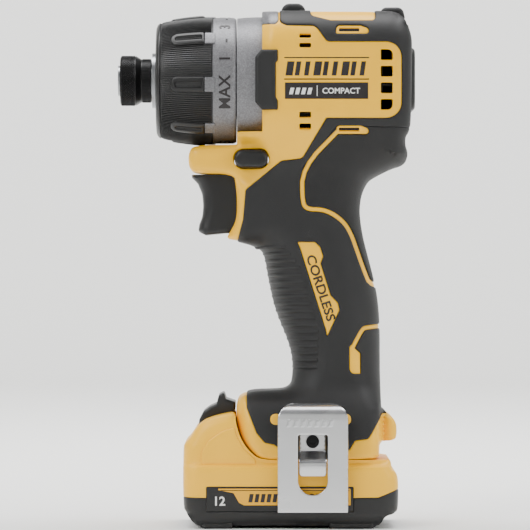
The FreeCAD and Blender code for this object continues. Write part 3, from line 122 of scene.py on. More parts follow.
@dataclass(frozen=True)
class Finish:
    """A material's looks; sizes are millimetres."""

    name: str
    colour: str
    roughness: float
    metallic: float = 0.0
    ior: float = 1.5
    grain: Grain = Grain.EVEN
    grain_size: float = 0.5
    grain_depth: float = 0.01
    mottle: float = 0.06
    mottle_size: float = 14.0
    polish_spread: float = 0.08
    coat: float = 0.0
    flakes: float = 0.0

    def build(self) -> bpy.types.Material:
        """Makes the node material once and returns it."""
        found = bpy.data.materials.get(self.name)
        if found is not None:
            return found
        material = bpy.data.materials.new(self.name)
        material.use_nodes = True
        tree = material.node_tree
        tree.nodes.clear()
        place = add_node(tree, "ShaderNodeTexCoord", {}, {}).outputs["Object"]
        stretch = [s / (self.grain_size * MM) for s in self.grain.value]
        fine_place = add_node(tree, "ShaderNodeMapping", {}, {"Vector": place, "Scale": stretch})
        fine = add_node(tree, "ShaderNodeTexNoise", {},
                        {"Vector": fine_place.outputs["Vector"], "Scale": 1.0, "Detail": 3.0})
        broad = add_node(tree, "ShaderNodeTexNoise", {},
                         {"Vector": place, "Scale": 1 / (self.mottle_size * MM), "Detail": 2.0})
        tone = srgb(self.colour)
        worn = tuple(c * (1 - 3 * self.mottle) for c in tone[:3]) + (1.0,)
        share = add_node(tree, "ShaderNodeMapRange", {},
                         {"Value": broad.outputs["Fac"], "From Min": 0.3, "From Max": 0.7})
        shade = add_node(tree, "ShaderNodeMix", {"data_type": "RGBA"},
                         {0: share.outputs["Result"], 6: worn, 7: tone}).outputs[2]
        if self.flakes:
            cells = add_node(tree, "ShaderNodeTexVoronoi", {"feature": "F1"},
                             {"Vector": place, "Scale": 1 / (self.grain_size * MM)})
            grey = add_node(tree, "ShaderNodeRGBToBW", {}, {"Color": cells.outputs["Color"]})
            lit = add_node(tree, "ShaderNodeMapRange", {},
                           {"Value": grey.outputs["Val"], "To Min": 1 - self.flakes,
                            "To Max": 1 + self.flakes})
            shade = add_node(tree, "ShaderNodeVectorMath", {"operation": "SCALE"},
                             {0: shade, "Scale": lit.outputs["Result"]}).outputs[0]
        polish = add_node(tree, "ShaderNodeMapRange", {},
                          {"Value": broad.outputs["Fac"], "From Min": 0.25, "From Max": 0.75,
                           "To Min": max(0.03, self.roughness - self.polish_spread / 2),
                           "To Max": min(1.0, self.roughness + self.polish_spread / 2)})
        bump = add_node(tree, "ShaderNodeBump", {},
                        {"Height": fine.outputs["Fac"], "Distance": self.grain_depth * MM,
                         "Strength": 1.0})
        shader = add_node(tree, "ShaderNodeBsdfPrincipled", {},
                          {"Base Color": shade, "Roughness": polish.outputs["Result"],
                           "Metallic": self.metallic, "IOR": self.ior, "Coat Weight": self.coat,
                           "Coat Roughness": 0.08, "Normal": bump.outputs["Normal"]})
        add_node(tree, "ShaderNodeOutputMaterial", {}, {"Surface": shader.outputs["BSDF"]})
        return material


YELLOW = Finish("moulded_yellow", "#ffc000", 0.42, grain_size=0.35, grain_depth=0.012, mottle=0.015)
BLACK = Finish("moulded_black", "#0c0c0d", 0.4, grain_size=0.35, grain_depth=0.02, mottle=0.05)
RUBBER = Finish("grip_elastomer", "#151516", 0.58, ior=1.48, grain_size=0.45, grain_depth=0.05)
DARK_RUBBER = Finish("palm_elastomer", "#0f0f10", 0.64, ior=1.48, grain_size=0.55, grain_depth=0.07)
FILM = Finish("printed_film", "#0a0a0b", 0.3, grain_size=2.0, grain_depth=0.003, mottle=0.02)
WHITE_INK = Finish("white_ink", "#e8e8e6", 0.5, grain_size=0.3, grain_depth=0.003, mottle=0.01)
BLACK_INK = Finish("black_ink", "#1a1416", 0.42, grain_size=0.3, grain_depth=0.003, mottle=0.02)
AMBER_INK = Finish("amber_ink", "#f0b000", 0.42, grain_size=0.3, grain_depth=0.003, mottle=0.02)
SILVER = Finish("grained_silver", "#77777a", 0.46, metallic=0.5, grain_size=0.42, grain_depth=0.035,
                mottle=0.03, flakes=0.3)
OXIDE = Finish("black_oxide", "#1a1a1b", 0.36, metallic=0.7, grain_size=0.4, grain_depth=0.008)
TURNED = Finish("turned_steel", "#9fa1a4", 0.28, metallic=1.0, grain=Grain.ROUND_X, grain_size=0.12,
                grain_depth=0.004)
PLATED = Finish("bright_plated", "#d3d4d6", 0.24, metallic=0.95, grain=Grain.ALONG_Z, grain_size=0.3,
                grain_depth=0.003, mottle=0.02)
WIRE = Finish("spring_wire", "#8b8d90", 0.3, metallic=1.0, grain_size=0.3, grain_depth=0.004)
BRONZE = Finish("sintered_bronze", "#a5763a", 0.5, metallic=0.9, grain_size=0.15, grain_depth=0.015)
COPPER = Finish("enamelled_copper", "#b25b2c", 0.3, metallic=0.85, coat=0.5, grain_size=0.5)
MAGNET = Finish("bonded_magnet", "#3a3a3e", 0.5, metallic=0.5, grain_size=0.2, grain_depth=0.02)
BOARD = Finish("solder_mask", "#0f5a2a", 0.35, grain_size=1.0, grain_depth=0.01)
WRAP = Finish("shrink_film", "#1f5f9e", 0.32, grain_size=3.0, grain_depth=0.01)
SHEATH = Finish("lead_sheath", "#8e1616", 0.45, grain_size=1.0, grain_depth=0.01)
STUDIO = Finish("studio_sweep", "#f4f4f2", 0.85, grain_size=4.0, grain_depth=0.01, mottle=0.0)

SLOT_FINISH = {
    "yellow_plastic": YELLOW, "black_plastic": BLACK, "grip_rubber": RUBBER, "label_film": FILM,
    "nose_silver": SILVER, "black_steel": OXIDE, "machined_steel": TURNED, "hook_steel": PLATED,
    "spring_steel": WIRE, "bronze": BRONZE, "copper": COPPER, "magnet": MAGNET,
    "circuit_board": BOARD, "cell_wrap": WRAP, "lead_sheath": SHEATH,
}


# ------------------------------------------------------------------------------------ flat outlines
def rounded(corners: Sequence[tuple[float, float, float]], step: float = 0.8) -> Array:
    """A closed outline with its corners rounded.

    Args:
        corners: For each corner, its two coordinates and its radius.
        step: The longest gap between two points of the result.

    Returns:
        The points, one row each.
    """
    count = len(corners)
    points: list[Array] = []
    for i, (u, v, radius) in enumerate(corners):
        here = np.array((u, v), float)
        before = np.array(corners[i - 1][:2], float) - here
        after = np.array(corners[(i + 1) % count][:2], float) - here
        reach_before, reach_after = np.linalg.norm(before), np.linalg.norm(after)
        before, after = before / reach_before, after / reach_after
        half = math.acos(float(np.clip(before @ after, -1, 1))) / 2
        if radius <= 0 or abs(half - math.pi / 2) < 1e-3:
            points.append(here)
            continue
        reach = min(radius / math.tan(half), 0.49 * reach_before, 0.49 * reach_after)
        middle = before + after
        centre = here + middle / np.linalg.norm(middle) * (reach / math.cos(half))
        size = reach * math.tan(half)
        first = math.atan2(*(here + before * reach - centre)[::-1])
        last = math.atan2(*(here + after * reach - centre)[::-1])
        sweep = (last - first + math.pi) % (2 * math.pi) - math.pi
        parts = max(4, int(abs(sweep) * size / (0.6 * step)))
        for k in range(parts + 1):
            angle = first + sweep * k / parts
            points.append(centre + size * np.array((math.cos(angle), math.sin(angle))))
    return resampled(np.array(points), step)


def rectangle(x0: float, z0: float, x1: float, z1: float, radius: float = 0.0,
              step: float = 0.8) -> Array:
    """A rectangle with its four corners rounded alike."""
    return rounded([(x0, z0, radius), (x1, z0, radius), (x1, z1, radius), (x0, z1, radius)], step)


def pill(node: str, gap: float, step: float) -> Array:
    """The round-ended outline of a node seen from its side, grown by a gap."""
    low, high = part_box(node)
    x0, x1 = low.x / MM - gap, high.x / MM + gap
    z0, z1 = low.z / MM - gap, high.z / MM + gap
    return rectangle(x0, z0, x1, z1, (z1 - z0) / 2 - 0.01, step)


def resampled(points: Array, step: float, closed: bool = True) -> Array:
    """Splits the longer edges of a line so that none is longer than step."""
    result = []
    last = len(points) if closed else len(points) - 1
    for i in range(last):
        a, b = points[i], points[(i + 1) % len(points)]
        parts = max(1, int(math.ceil(np.linalg.norm(b - a) / step)))
        result += [a + (b - a) * k / parts for k in range(parts)]
    if not closed:
        result.append(points[-1])
    return np.array(result)


def softened(points: Sequence[Sequence[float]], passes: int = 3, closed: bool = False) -> Array:
    """Cuts a line's corners a few times; columns past the second are carried along."""
    line = np.array(points, float)
    for _ in range(passes):
        after = np.roll(line, -1, axis=0)
        near, far = 0.75 * line + 0.25 * after, 0.25 * line + 0.75 * after
        woven = np.stack((near, far), axis=1).reshape(-1, line.shape[1])
        if not closed:
            woven = np.vstack((line[:1], woven[:-2], line[-1:]))
        line = woven
    return line


def ribbon(path: Sequence[Point], half: float, step: float = 0.8) -> Array:
    """The outline of a band along a path, with square ends."""
    line = resampled(softened(path, 2), step, closed=False)
    along = np.gradient(line, axis=0)
    along /= np.linalg.norm(along, axis=1)[:, None]
    side = np.stack((-along[:, 1], along[:, 0]), axis=1) * half
    return np.vstack((line + side, (line - side)[::-1]))


def inside(points: Array, outline: Array) -> Array:
    """For each point, whether the closed outline holds it."""
    x, z = points[:, 0], points[:, 1]
    held = np.zeros(len(points), bool)
    after = np.roll(outline, -1, axis=0)
    for (ax, az), (bx, bz) in zip(outline, after):
        crosses = (az > z) != (bz > z)
        if crosses.any():
            reach = (bx - ax) * (z - az) / (bz - az + 1e-300) + ax
            held ^= crosses & (x < reach)
    return held


def nearest(points: Array, starts: Array, ends: Array) -> tuple[Array, Array, Array]:
    """The nearest of many segments to each point.

    Args:
        points: The points, one row each.
        starts: The segments' first ends.
        ends: Their last ends.

    Returns:
        For each point its distance, the segment's number and how far along it the foot lies.
    """
    distance = np.empty(len(points))
    which = np.empty(len(points), int)
    share = np.empty(len(points))
    along = ends - starts
    square = np.maximum((along ** 2).sum(1), 1e-12)
    for low in range(0, len(points), 2000):
        chunk = points[low:low + 2000, None, :] - starts[None]
        t = np.clip((chunk * along).sum(2) / square, 0, 1)
        gap = ((chunk - t[..., None] * along) ** 2).sum(2)
        best = gap.argmin(1)
        rows = np.arange(len(best))
        distance[low:low + 2000] = np.sqrt(gap[rows, best])
        which[low:low + 2000] = best
        share[low:low + 2000] = t[rows, best]
    return distance, which, share


# ------------------------------------------------------------------------------------ meshes
@dataclass
class Shape:
    """Points in millimetres and the faces between them."""

    points: Array
    faces: list[tuple[int, ...]]

    def mirrored(self) -> "Shape":
        """The same shape on the other side of the tool."""
        return Shape(self.points * (1, -1, 1), [face[::-1] for face in self.faces])

    def moved(self, x: float = 0.0, y: float = 0.0, z: float = 0.0) -> "Shape":
        """The same shape somewhere else."""
        return Shape(self.points + (x, y, z), self.faces)


def together(shapes: Iterable[Shape]) -> Shape:
    """Several shapes as one."""
    points, faces, count = [], [], 0
    for shape in shapes:
        points.append(shape.points)
        faces += [tuple(i + count for i in face) for face in shape.faces]
        count += len(shape.points)
    return Shape(np.vstack(points), faces)


def both_sides(*shapes: Shape) -> Shape:
    """Shapes of the left side together with their mirror images."""
    return together([*shapes, *(shape.mirrored() for shape in shapes)])


@dataclass(frozen=True)
class Dress:
    """Puts shapes into the scene: how smooth, in which finish, on which body."""

    finish: Finish
    body: str = "housing"
    slot: str = "yellow_plastic"
    crease: float = 35.0

    def piece(self, name: str, shape: Shape, *stands_for: str) -> bpy.types.Object:
        """Makes the piece.

        Args:
            name: The piece's name.
            shape: Its points and faces.
            stands_for: The CAD nodes that it replaces.

        Returns:
            The new object, riding on its body.
        """
        mesh = bpy.data.meshes.new(name)
        mesh.from_pydata((shape.points * MM).tolist(), [], shape.faces)
        obj = bpy.data.objects.new(name, mesh)
        bpy.context.scene.collection.objects.link(obj)
        return self.keep(obj, *stands_for)

    def keep(self, obj: bpy.types.Object, *stands_for: str) -> bpy.types.Object:
        """Tidies a mesh object, dresses it and hands it to its body."""
        shell = bmesh.new()
        shell.from_mesh(obj.data)
        bmesh.ops.remove_doubles(shell, verts=shell.verts, dist=1e-7)
        bmesh.ops.recalc_face_normals(shell, faces=shell.faces)
        shell.to_mesh(obj.data)
        shell.free()
        obj.data.shade_smooth()
        obj.data.set_sharp_from_angle(angle=math.radians(self.crease))
        obj.data.materials.clear()
        obj.data.materials.append(self.finish.build())
        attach(obj, self.body)
        if stands_for:
            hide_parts(*stands_for)
        LOG.info("%s: %d faces on %s", obj.name, len(obj.data.polygons), self.body)
        return obj


class Patch:
    """A flat outline cut into small triangles, ready to be lifted into a solid."""

    EDGE_ROWS = (0.04, 0.18, 0.45, 0.9, 1.6)
    LINE_ROWS = (0.1, 0.28, 0.55)

    def __init__(self, outline: Array, lines: Sequence[Array] = (), pitch: float = 1.2,
                 edge_rows: Sequence[float] = EDGE_ROWS) -> None:
        """Cuts the outline up.

        Args:
            outline: The closed outer line.
            lines: Closed lines that the triangles' edges follow.
            pitch: The spacing of the points between the lines.
            edge_rows: How far inside the outline its rows of points lie.
        """
        self.outline = outline
        loops = [outline, *lines]
        starts = np.vstack(loops)
        ends = np.vstack([np.roll(loop, -1, axis=0) for loop in loops])
        extra = [self._rows(outline, row) for row in edge_rows]
        for line in lines:
            extra += [self._rows(line, row) for row in self.LINE_ROWS]
        extra = np.vstack(extra) if extra else np.zeros((0, 2))
        offsets = np.concatenate(
            [np.full(2 * len(outline), row) for row in edge_rows]
            + [np.full(2 * len(line), row) for line in lines for row in self.LINE_ROWS] or [[]])
        gap = nearest(extra, starts, ends)[0] if len(extra) else np.zeros(0)
        extra = extra[(gap > 0.8 * offsets) & inside(extra, outline)] if len(extra) else extra
        grid = self._grid(pitch)
        grid = grid[nearest(grid, starts, ends)[0] > 0.45 * pitch] if len(grid) else grid
        seen, points = set(), []
        for point in (*extra, *grid):
            key = (round(point[0] / 0.03), round(point[1] / 0.03))
            if key not in seen:
                seen.add(key)
                points.append(point)
        edges, count = [], 0
        for loop in loops:
            edges += [(count + i, count + (i + 1) % len(loop)) for i in range(len(loop))]
            count += len(loop)
        every = [Vector(p) for p in (*starts, *points)]
        found = delaunay_2d_cdt(every, edges, [], 0, 1e-5)
        self.flat = np.array([tuple(p) for p in found[0]])
        faces = np.array([face for face in found[2] if len(face) == 3])
        a, b, c = (self.flat[faces[:, i]] for i in range(3))
        area = (b[:, 0] - a[:, 0]) * (c[:, 1] - a[:, 1]) - (b[:, 1] - a[:, 1]) * (c[:, 0] - a[:, 0])
        faces[area < 0] = faces[area < 0][:, ::-1]
        kept = (np.abs(area) > 1e-7) & inside((a + b + c) / 3, outline)
        self.faces = faces[kept]
        self.centres = self.flat[self.faces].mean(1)
        self.rim = self._border(self.faces)

    @staticmethod
    def _rows(loop: Array, row: float) -> Array:
        along = np.roll(loop, -1, axis=0) - np.roll(loop, 1, axis=0)
        along /= np.maximum(np.linalg.norm(along, axis=1), 1e-9)[:, None]
        side = np.stack((-along[:, 1], along[:, 0]), axis=1)
        return np.vstack((loop + row * side, loop - row * side))

    def _grid(self, pitch: float) -> Array:
        low, high = self.outline.min(0), self.outline.max(0)
        rows = np.arange(low[1], high[1], pitch * 0.866)
        points = []
        for k, z in enumerate(rows):
            x = np.arange(low[0] + (k % 2) * pitch / 2, high[0], pitch)
            points.append(np.stack((x, np.full(len(x), z)), axis=1))
        grid = np.vstack(points)
        return grid[inside(grid, self.outline)]

    @staticmethod
    def _border(faces: Array) -> set[tuple[int, int]]:
        edges = {(int(f[i]), int(f[(i + 1) % 3])) for f in faces for i in range(3)}
        return {edge for edge in edges if edge[::-1] not in edges}

    def solid(self, chosen: Array, top: Array, bottom: Array, seam: Array | None = None) -> Shape:
        """Closes the chosen triangles between two surfaces.

        Args:
            chosen: Which triangles to take.
            top: Where each point lies on the outer surface.
            bottom: Where it lies on the inner one.
            seam: Where a point of the outline turns in, if it does.

        Returns:
            The closed shape.
        """
        faces = self.faces[chosen]
        used = np.unique(faces)
        number = {int(v): i for i, v in enumerate(used)}
        count = len(used)
        result = []
        for a, b, c in faces.tolist():
            result.append((number[a], number[b], number[c]))
            result.append((number[c] + count, number[b] + count, number[a] + count))
        points = [top[used], bottom[used]]
        if seam is not None:
            points.append(seam[used])
        for a, b in self._border(faces):
            i, j = number[a], number[b]
            if seam is not None and (a, b) in self.rim:
                result.append((j, i, i + 2 * count, j + 2 * count))
                result.append((j + 2 * count, i + 2 * count, i + count, j + count))
            else:
                result.append((j, i, i + count, j + count))
        return Shape(np.vstack(points), result)

    def edge_distance(self, chosen: Array) -> Array:
        """How far each point lies from the chosen triangles' border, the outline left out."""
        border = [edge for edge in self._border(self.faces[chosen]) if edge not in self.rim]
        if not border:
            return np.full(len(self.flat), 99.0)
        ends = np.array(border)
        return nearest(self.flat, self.flat[ends[:, 0]], self.flat[ends[:, 1]])[0]


def plate(outline: Array, outer: float, inner: float, bevel: float = 0.0, pitch: float = 2.0) -> Shape:
    """A flat plate on the tool's left side, its outer edge rounded over."""
    rows = (0.15 * bevel, 0.45 * bevel, bevel) if bevel else ()
    patch = Patch(outline, (), pitch, rows)
    gap = nearest(patch.flat, outline, np.roll(outline, -1, axis=0))[0]
    drop = over(gap, bevel, bevel) if bevel else np.zeros(len(gap))
    top = np.stack((patch.flat[:, 0], -outer + drop, patch.flat[:, 1]), axis=1)
    low = np.stack((patch.flat[:, 0], np.full(len(gap), -inner), patch.flat[:, 1]), axis=1)
    return patch.solid(np.ones(len(patch.faces), bool), top, low)


def over(distance: Array, reach: Array | float, drop: Array | float) -> Array:
    """How far a rounded edge falls away at a distance from its outline."""
    g = np.clip(1 - distance / np.maximum(reach, 1e-6), 0, 1)
    return drop * (1 - np.sqrt(np.maximum(1 - g * g, 0)))


def level(value: float) -> Callable[[Array], Array]:
    """A measure that is the same everywhere."""
    return lambda points: np.full(len(points), value)


def smooth_step(value: Array, low: float, high: float) -> Array:
    """Rises from 0 at low to 1 at high."""
    t = np.clip((value - low) / (high - low), 0, 1)
    return t * t * (3 - 2 * t)


@dataclass(frozen=True)
class Edge:
    """A run of outline that is rounded over: rows of x, z, how far in and how deep."""

    rows: tuple[tuple[float, float, float, float], ...]
    passes: int = 3
    snap: float = 1.6

    def traced(self, outline: Array) -> tuple[Array, Array]:
        """The run laid on the outline where it is near, as the two ends of each segment."""
        line = softened(self.rows, self.passes)
        gap, which, share = nearest(outline, line[:-1, :2], line[1:, :2])
        values = line[which] + share[:, None] * (line[which + 1] - line[which])
        along = np.column_stack((outline, values[:, 2:]))
        near = gap < self.snap
        both = near & np.roll(near, -1)
        middles = (line[:-1, :2] + line[1:, :2]) / 2
        apart = nearest(middles, outline, np.roll(outline, -1, axis=0))[0] > self.snap
        starts = np.vstack((along[both], line[:-1][apart]))
        ends = np.vstack((np.roll(along, -1, axis=0)[both], line[1:][apart]))
        return starts, ends

    def drop(self, points: Array, outline: Array) -> Array:
        """How far this edge lowers the surface at each point."""
        starts, ends = self.traced(outline)
        distance, which, share = nearest(points, starts[:, :2], ends[:, :2])
        values = starts[which] + share[:, None] * (ends[which] - starts[which])
        return over(distance, values[:, 2], values[:, 3])


@dataclass
class Area:
    """One moulded area of a relief: how proud it stands, how thick it is and how its rim is rounded."""

    name: str
    proud: float
    wall: float
    round_over: float = 0.55
    sink: float = 0.35


class Relief:
    """A body seen from its side: an outline, a half width at each place, and areas."""

    def __init__(self, outline: Array, edges: Sequence[Edge], width: Callable[[Array], Array],
                 lines: Sequence[Array] = (), pitch: float = 1.2,
                 seam: Callable[[Array], Array] | None = None) -> None:
        """Cuts the side view up and finds its surface.

        Args:
            outline: The closed side view.
            edges: The runs that are rounded over.
            width: The half width before rounding, for rows of x and z.
            lines: The borders between areas.
            pitch: The spacing of the surface's points.
            seam: How near the middle the halves come at each place.
        """
        self.edges, self.width = edges, width
        self.patch = Patch(outline, lines, pitch)
        flat = self.patch.flat
        self.half = self.height(flat)
        self.near = seam(flat) if seam else np.full(len(flat), 0.04)
        self.half = np.maximum(self.half, self.near)
        self.base = np.stack((flat[:, 0], -self.half, flat[:, 1]), axis=1)
        self.normal = self._normals()

    def height(self, points: Array) -> Array:
        """The half width at rows of x and z."""
        fall = sum(edge.drop(points, self.patch.outline) ** 2 for edge in self.edges)
        return self.width(points) - np.sqrt(fall)

    def _normals(self) -> Array:
        a, b, c = (self.base[self.patch.faces[:, i]] for i in range(3))
        face = np.cross(b - a, c - a)
        normal = np.zeros_like(self.base)
        for i in range(3):
            np.add.at(normal, self.patch.faces[:, i], face)
        normal /= np.maximum(np.linalg.norm(normal, axis=1), 1e-12)[:, None]
        normal = np.where((normal[:, 1] > 0)[:, None], -normal, normal)
        outline = self.patch.outline
        after = np.roll(outline, -1, axis=0)
        gap, which, _ = nearest(self.patch.flat, outline, after)
        along = (after - outline)[which]
        along /= np.maximum(np.linalg.norm(along, axis=1), 1e-9)[:, None]
        out = np.stack((along[:, 1], -along[:, 0]), axis=1)
        if self._turn(outline) < 0:
            out = -out
        inward = np.minimum((normal[:, (0, 2)] * out).sum(1), 0) * (gap < 3)
        normal[:, (0, 2)] -= inward[:, None] * out
        return normal

    @staticmethod
    def _turn(outline: Array) -> float:
        after = np.roll(outline, -1, axis=0)
        return float((outline[:, 0] * after[:, 1] - outline[:, 1] * after[:, 0]).sum())

    def area(self, area: Area, chosen: Array) -> Shape:
        """One side's shell of an area."""
        gap = self.patch.edge_distance(chosen)
        rise = area.proud - over(gap, area.round_over, area.sink)
        top = self.base + self.normal * rise[:, None]
        low = self.base - self.normal * area.wall
        low[:, 1] = np.minimum(low[:, 1], -self.near)
        top[:, 1] = np.minimum(top[:, 1], -self.near)
        seam = top.copy()
        seam[:, 1] = -self.near
        rim = np.unique(np.array(list(self.patch.rim)))
        low[rim, 1] = -self.near[rim]
        return self.patch.solid(chosen, top, low, seam)

    def whole(self) -> Shape:
        """Both sides as one closed piece."""
        count = len(self.base)
        faces = [tuple(face) for face in self.patch.faces.tolist()]
        faces += [tuple(i + count for i in face[::-1]) for face in faces]
        faces += [(b, a, a + count, b + count) for a, b in self.patch.rim]
        used = np.unique(self.patch.faces)
        shape = Shape(np.vstack((self.base, self.base * (1, -1, 1))), faces)
        if len(used) == count:
            return shape
        keep = np.concatenate((used, used + count))
        number = np.full(2 * count, -1)
        number[keep] = np.arange(len(keep))
        return Shape(shape.points[keep], [tuple(int(number[i]) for i in f) for f in faces])


def lathe(profile: Sequence[Point], segments: int = 160) -> Shape:
    """Turns rows of (x, radius) about the spindle's axis."""
    line = np.array(profile, float)
    angle = np.arange(segments) * 2 * math.pi / segments
    rings = [np.stack((np.full(segments, x), r * np.sin(angle), AXIS + r * np.cos(angle)), axis=1)
             for x, r in line]
    faces = []
    for k in range(len(line)):
        low, high = k * segments, (k + 1) % len(line) * segments
        for i in range(segments):
            j = (i + 1) % segments
            faces.append((low + i, low + j, high + j, high + i))
    return Shape(np.vstack(rings), faces)


def wrapped(points: Array, rise: Array, radius: Callable[[Array], Array], turn: float) -> Array:
    """Lays rows of (x, arc) on the turned surface round the axis.

    Args:
        points: Rows of x and arc length.
        rise: How far each stands off the surface.
        radius: The surface's radius at each x.
        turn: The angle of arc 0, in degrees above the left side.

    Returns:
        The places in space.
    """
    at = radius(points[:, 0])
    angle = math.radians(turn) + points[:, 1] / at
    reach = at + rise
    return np.stack((points[:, 0], -reach * np.cos(angle), AXIS + reach * np.sin(angle)), axis=1)


# ------------------------------------------------------------------------------------ growers
class Grower:
    """A geometry node tree with named inputs, run once and kept as a plain mesh."""

    def __init__(self, name: str, inputs: dict[str, str]) -> None:
        """Starts the tree.

        Args:
            name: The tree's name.
            inputs: For each named input, its socket type.
        """
        self.tree = bpy.data.node_groups.new(name, "GeometryNodeTree")
        face = self.tree.interface
        self.sockets = {"Geometry": face.new_socket("Geometry", in_out="INPUT",
                                                    socket_type="NodeSocketGeometry")}
        for key, kind in {**inputs, "Material": "NodeSocketMaterial"}.items():
            self.sockets[key] = face.new_socket(key, in_out="INPUT", socket_type=kind)
        face.new_socket("Geometry", in_out="OUTPUT", socket_type="NodeSocketGeometry")
        self.start = self.tree.nodes.new("NodeGroupInput")

    def math(self, operation: str, *values: object) -> bpy.types.NodeSocket:
        """A number worked out from others."""
        inputs = dict(enumerate(values))
        return add_node(self.tree, "ShaderNodeMath", {"operation": operation}, inputs).outputs[0]

    def end(self, geometry: bpy.types.NodeSocket) -> None:
        """Realises the geometry, gives it its material and hands it out."""
        real = add_node(self.tree, "GeometryNodeRealizeInstances", {}, {"Geometry": geometry})
        clad = add_node(self.tree, "GeometryNodeSetMaterial", {},
                        {"Geometry": real.outputs[0], "Material": self.start.outputs["Material"]})
        add_node(self.tree, "NodeGroupOutput", {}, {0: clad.outputs[0]})

    def run(self, name: str, seed: Shape, lines: Sequence[tuple[int, int]], finish: Finish,
            values: dict[str, float]) -> Shape:
        """Grows a shape from a seed and returns it."""
        mesh = bpy.data.meshes.new(name)
        mesh.from_pydata((seed.points * MM).tolist(), list(lines), seed.faces)
        obj = bpy.data.objects.new(name, mesh)
        bpy.context.scene.collection.objects.link(obj)
        change = obj.modifiers.new("grow", "NODES")
        change.node_group = self.tree
        for key, value in {**values, "Material": finish.build()}.items():
            change[self.sockets[key].identifier] = value
        graph = bpy.context.evaluated_depsgraph_get()
        grown = bpy.data.meshes.new_from_object(obj.evaluated_get(graph))
        points = np.empty(len(grown.vertices) * 3)
        grown.vertices.foreach_get("co", points)
        faces = [tuple(face.vertices) for face in grown.polygons]
        bpy.data.objects.remove(obj)
        return Shape(points.reshape(-1, 3) / MM, faces)


class RingGrower(Grower):
    """Copies a unit round the X axis, in rows, every other row turned by a stagger."""

    def __init__(self) -> None:
        """Builds the tree."""
        super().__init__("ring_of_units", {
            "Count": "NodeSocketInt", "Rows": "NodeSocketInt", "Step": "NodeSocketFloat",
            "Start": "NodeSocketFloat", "Stagger": "NodeSocketFloat", "Row Pitch": "NodeSocketFloat"})
        given = self.start.outputs
        total = self.math("MULTIPLY", given["Count"], given["Rows"])
        index = add_node(self.tree, "GeometryNodeInputIndex", {}, {}).outputs[0]
        row = self.math("FLOOR", self.math("DIVIDE", self.math("ADD", index, 0.5), given["Count"]))
        place = self.math("SUBTRACT", index, self.math("MULTIPLY", row, given["Count"]))
        odd = self.math("MULTIPLY", self.math("MODULO", row, 2.0), given["Stagger"])
        turn = self.math("MULTIPLY_ADD", place, given["Step"], self.math("ADD", given["Start"], odd))
        along = self.math("MULTIPLY", row, given["Row Pitch"])
        position = add_node(self.tree, "ShaderNodeCombineXYZ", {}, {"X": along})
        points = add_node(self.tree, "GeometryNodePoints", {},
                          {"Count": total, "Position": position.outputs[0]})
        rotation = add_node(self.tree, "ShaderNodeCombineXYZ", {}, {"X": turn})
        copies = add_node(self.tree, "GeometryNodeInstanceOnPoints", {},
                          {"Points": points.outputs[0], "Instance": given["Geometry"],
                           "Rotation": rotation.outputs[0]})
        self.end(copies.outputs[0])

    def ring(self, unit: Shape, finish: Finish, count: int, rows: int = 1, start: float = 0.0,
             stagger: float = 0.0, row_pitch: float = 0.0) -> Shape:
        """A ring of units round the spindle; angles are degrees, lengths millimetres."""
        values = {"Count": count, "Rows": rows, "Step": math.radians(360 / count),
                  "Start": math.radians(start), "Stagger": math.radians(stagger),
                  "Row Pitch": row_pitch * MM}
        grown = self.run("ring_seed", unit, [], finish, values)
        return grown.moved(z=AXIS)


class TubeGrower(Grower):
    """Sweeps a round section along lines."""

    def __init__(self) -> None:
        """Builds the tree."""
        super().__init__("swept_tube", {"Radius": "NodeSocketFloat", "Sides": "NodeSocketInt"})
        given = self.start.outputs
        curve = add_node(self.tree, "GeometryNodeMeshToCurve", {}, {"Mesh": given["Geometry"]})
        section = add_node(self.tree, "GeometryNodeCurvePrimitiveCircle", {"mode": "RADIUS"},
                           {"Radius": given["Radius"], "Resolution": given["Sides"]})
        swept = add_node(self.tree, "GeometryNodeCurveToMesh", {},
                         {"Curve": curve.outputs[0], "Profile Curve": section.outputs[0],
                          "Fill Caps": True})
        self.end(swept.outputs[0])

    def tubes(self, paths: Sequence[Array], radius: float, finish: Finish, sides: int = 12) -> Shape:
        """Tubes of one radius along several paths."""
        lines, count = [], 0
        for path in paths:
            lines += [(count + i, count + i + 1) for i in range(len(path) - 1)]
            count += len(path)
        seed = Shape(np.vstack(paths), [])
        return self.run("tube_seed", seed, lines, finish, {"Radius": radius * MM, "Sides": sides})


# ------------------------------------------------------------------------------------ lettering
def lettering(text: str, size: float, depth: float) -> Shape:
    """Plain letters as a thin solid: x along the line, z up the letter, y its thickness."""
    curve = bpy.data.curves.new("letters", "FONT")
    curve.body = text
    curve.size = size * MM
    curve.extrude = depth / 2 * MM
    curve.offset = 0.02 * size * MM
    curve.align_x, curve.align_y = "CENTER", "CENTER"
    curve.resolution_u = 4
    obj = bpy.data.objects.new("letters", curve)
    bpy.context.scene.collection.objects.link(obj)
    graph = bpy.context.evaluated_depsgraph_get()
    mesh = bpy.data.meshes.new_from_object(obj.evaluated_get(graph))
    points = np.empty(len(mesh.vertices) * 3)
    mesh.vertices.foreach_get("co", points)
    points = points.reshape(-1, 3)[:, (0, 2, 1)] / MM
    faces = [tuple(face.vertices) for face in mesh.polygons]
    bpy.data.objects.remove(obj)
    return Shape(points, faces)


def word_on_sides(text: str, size: float, place: tuple[float, float, float]) -> list[Shape]:
    """A word at a place on the left side and at its mirror place, readable on both."""
    word = lettering(text, size, 0.3)
    near = Shape(word.points + place, word.faces)
    far = Shape(word.points * (-1, 1, 1) + place, [face[::-1] for face in word.faces])
    return [near, far.mirrored()]


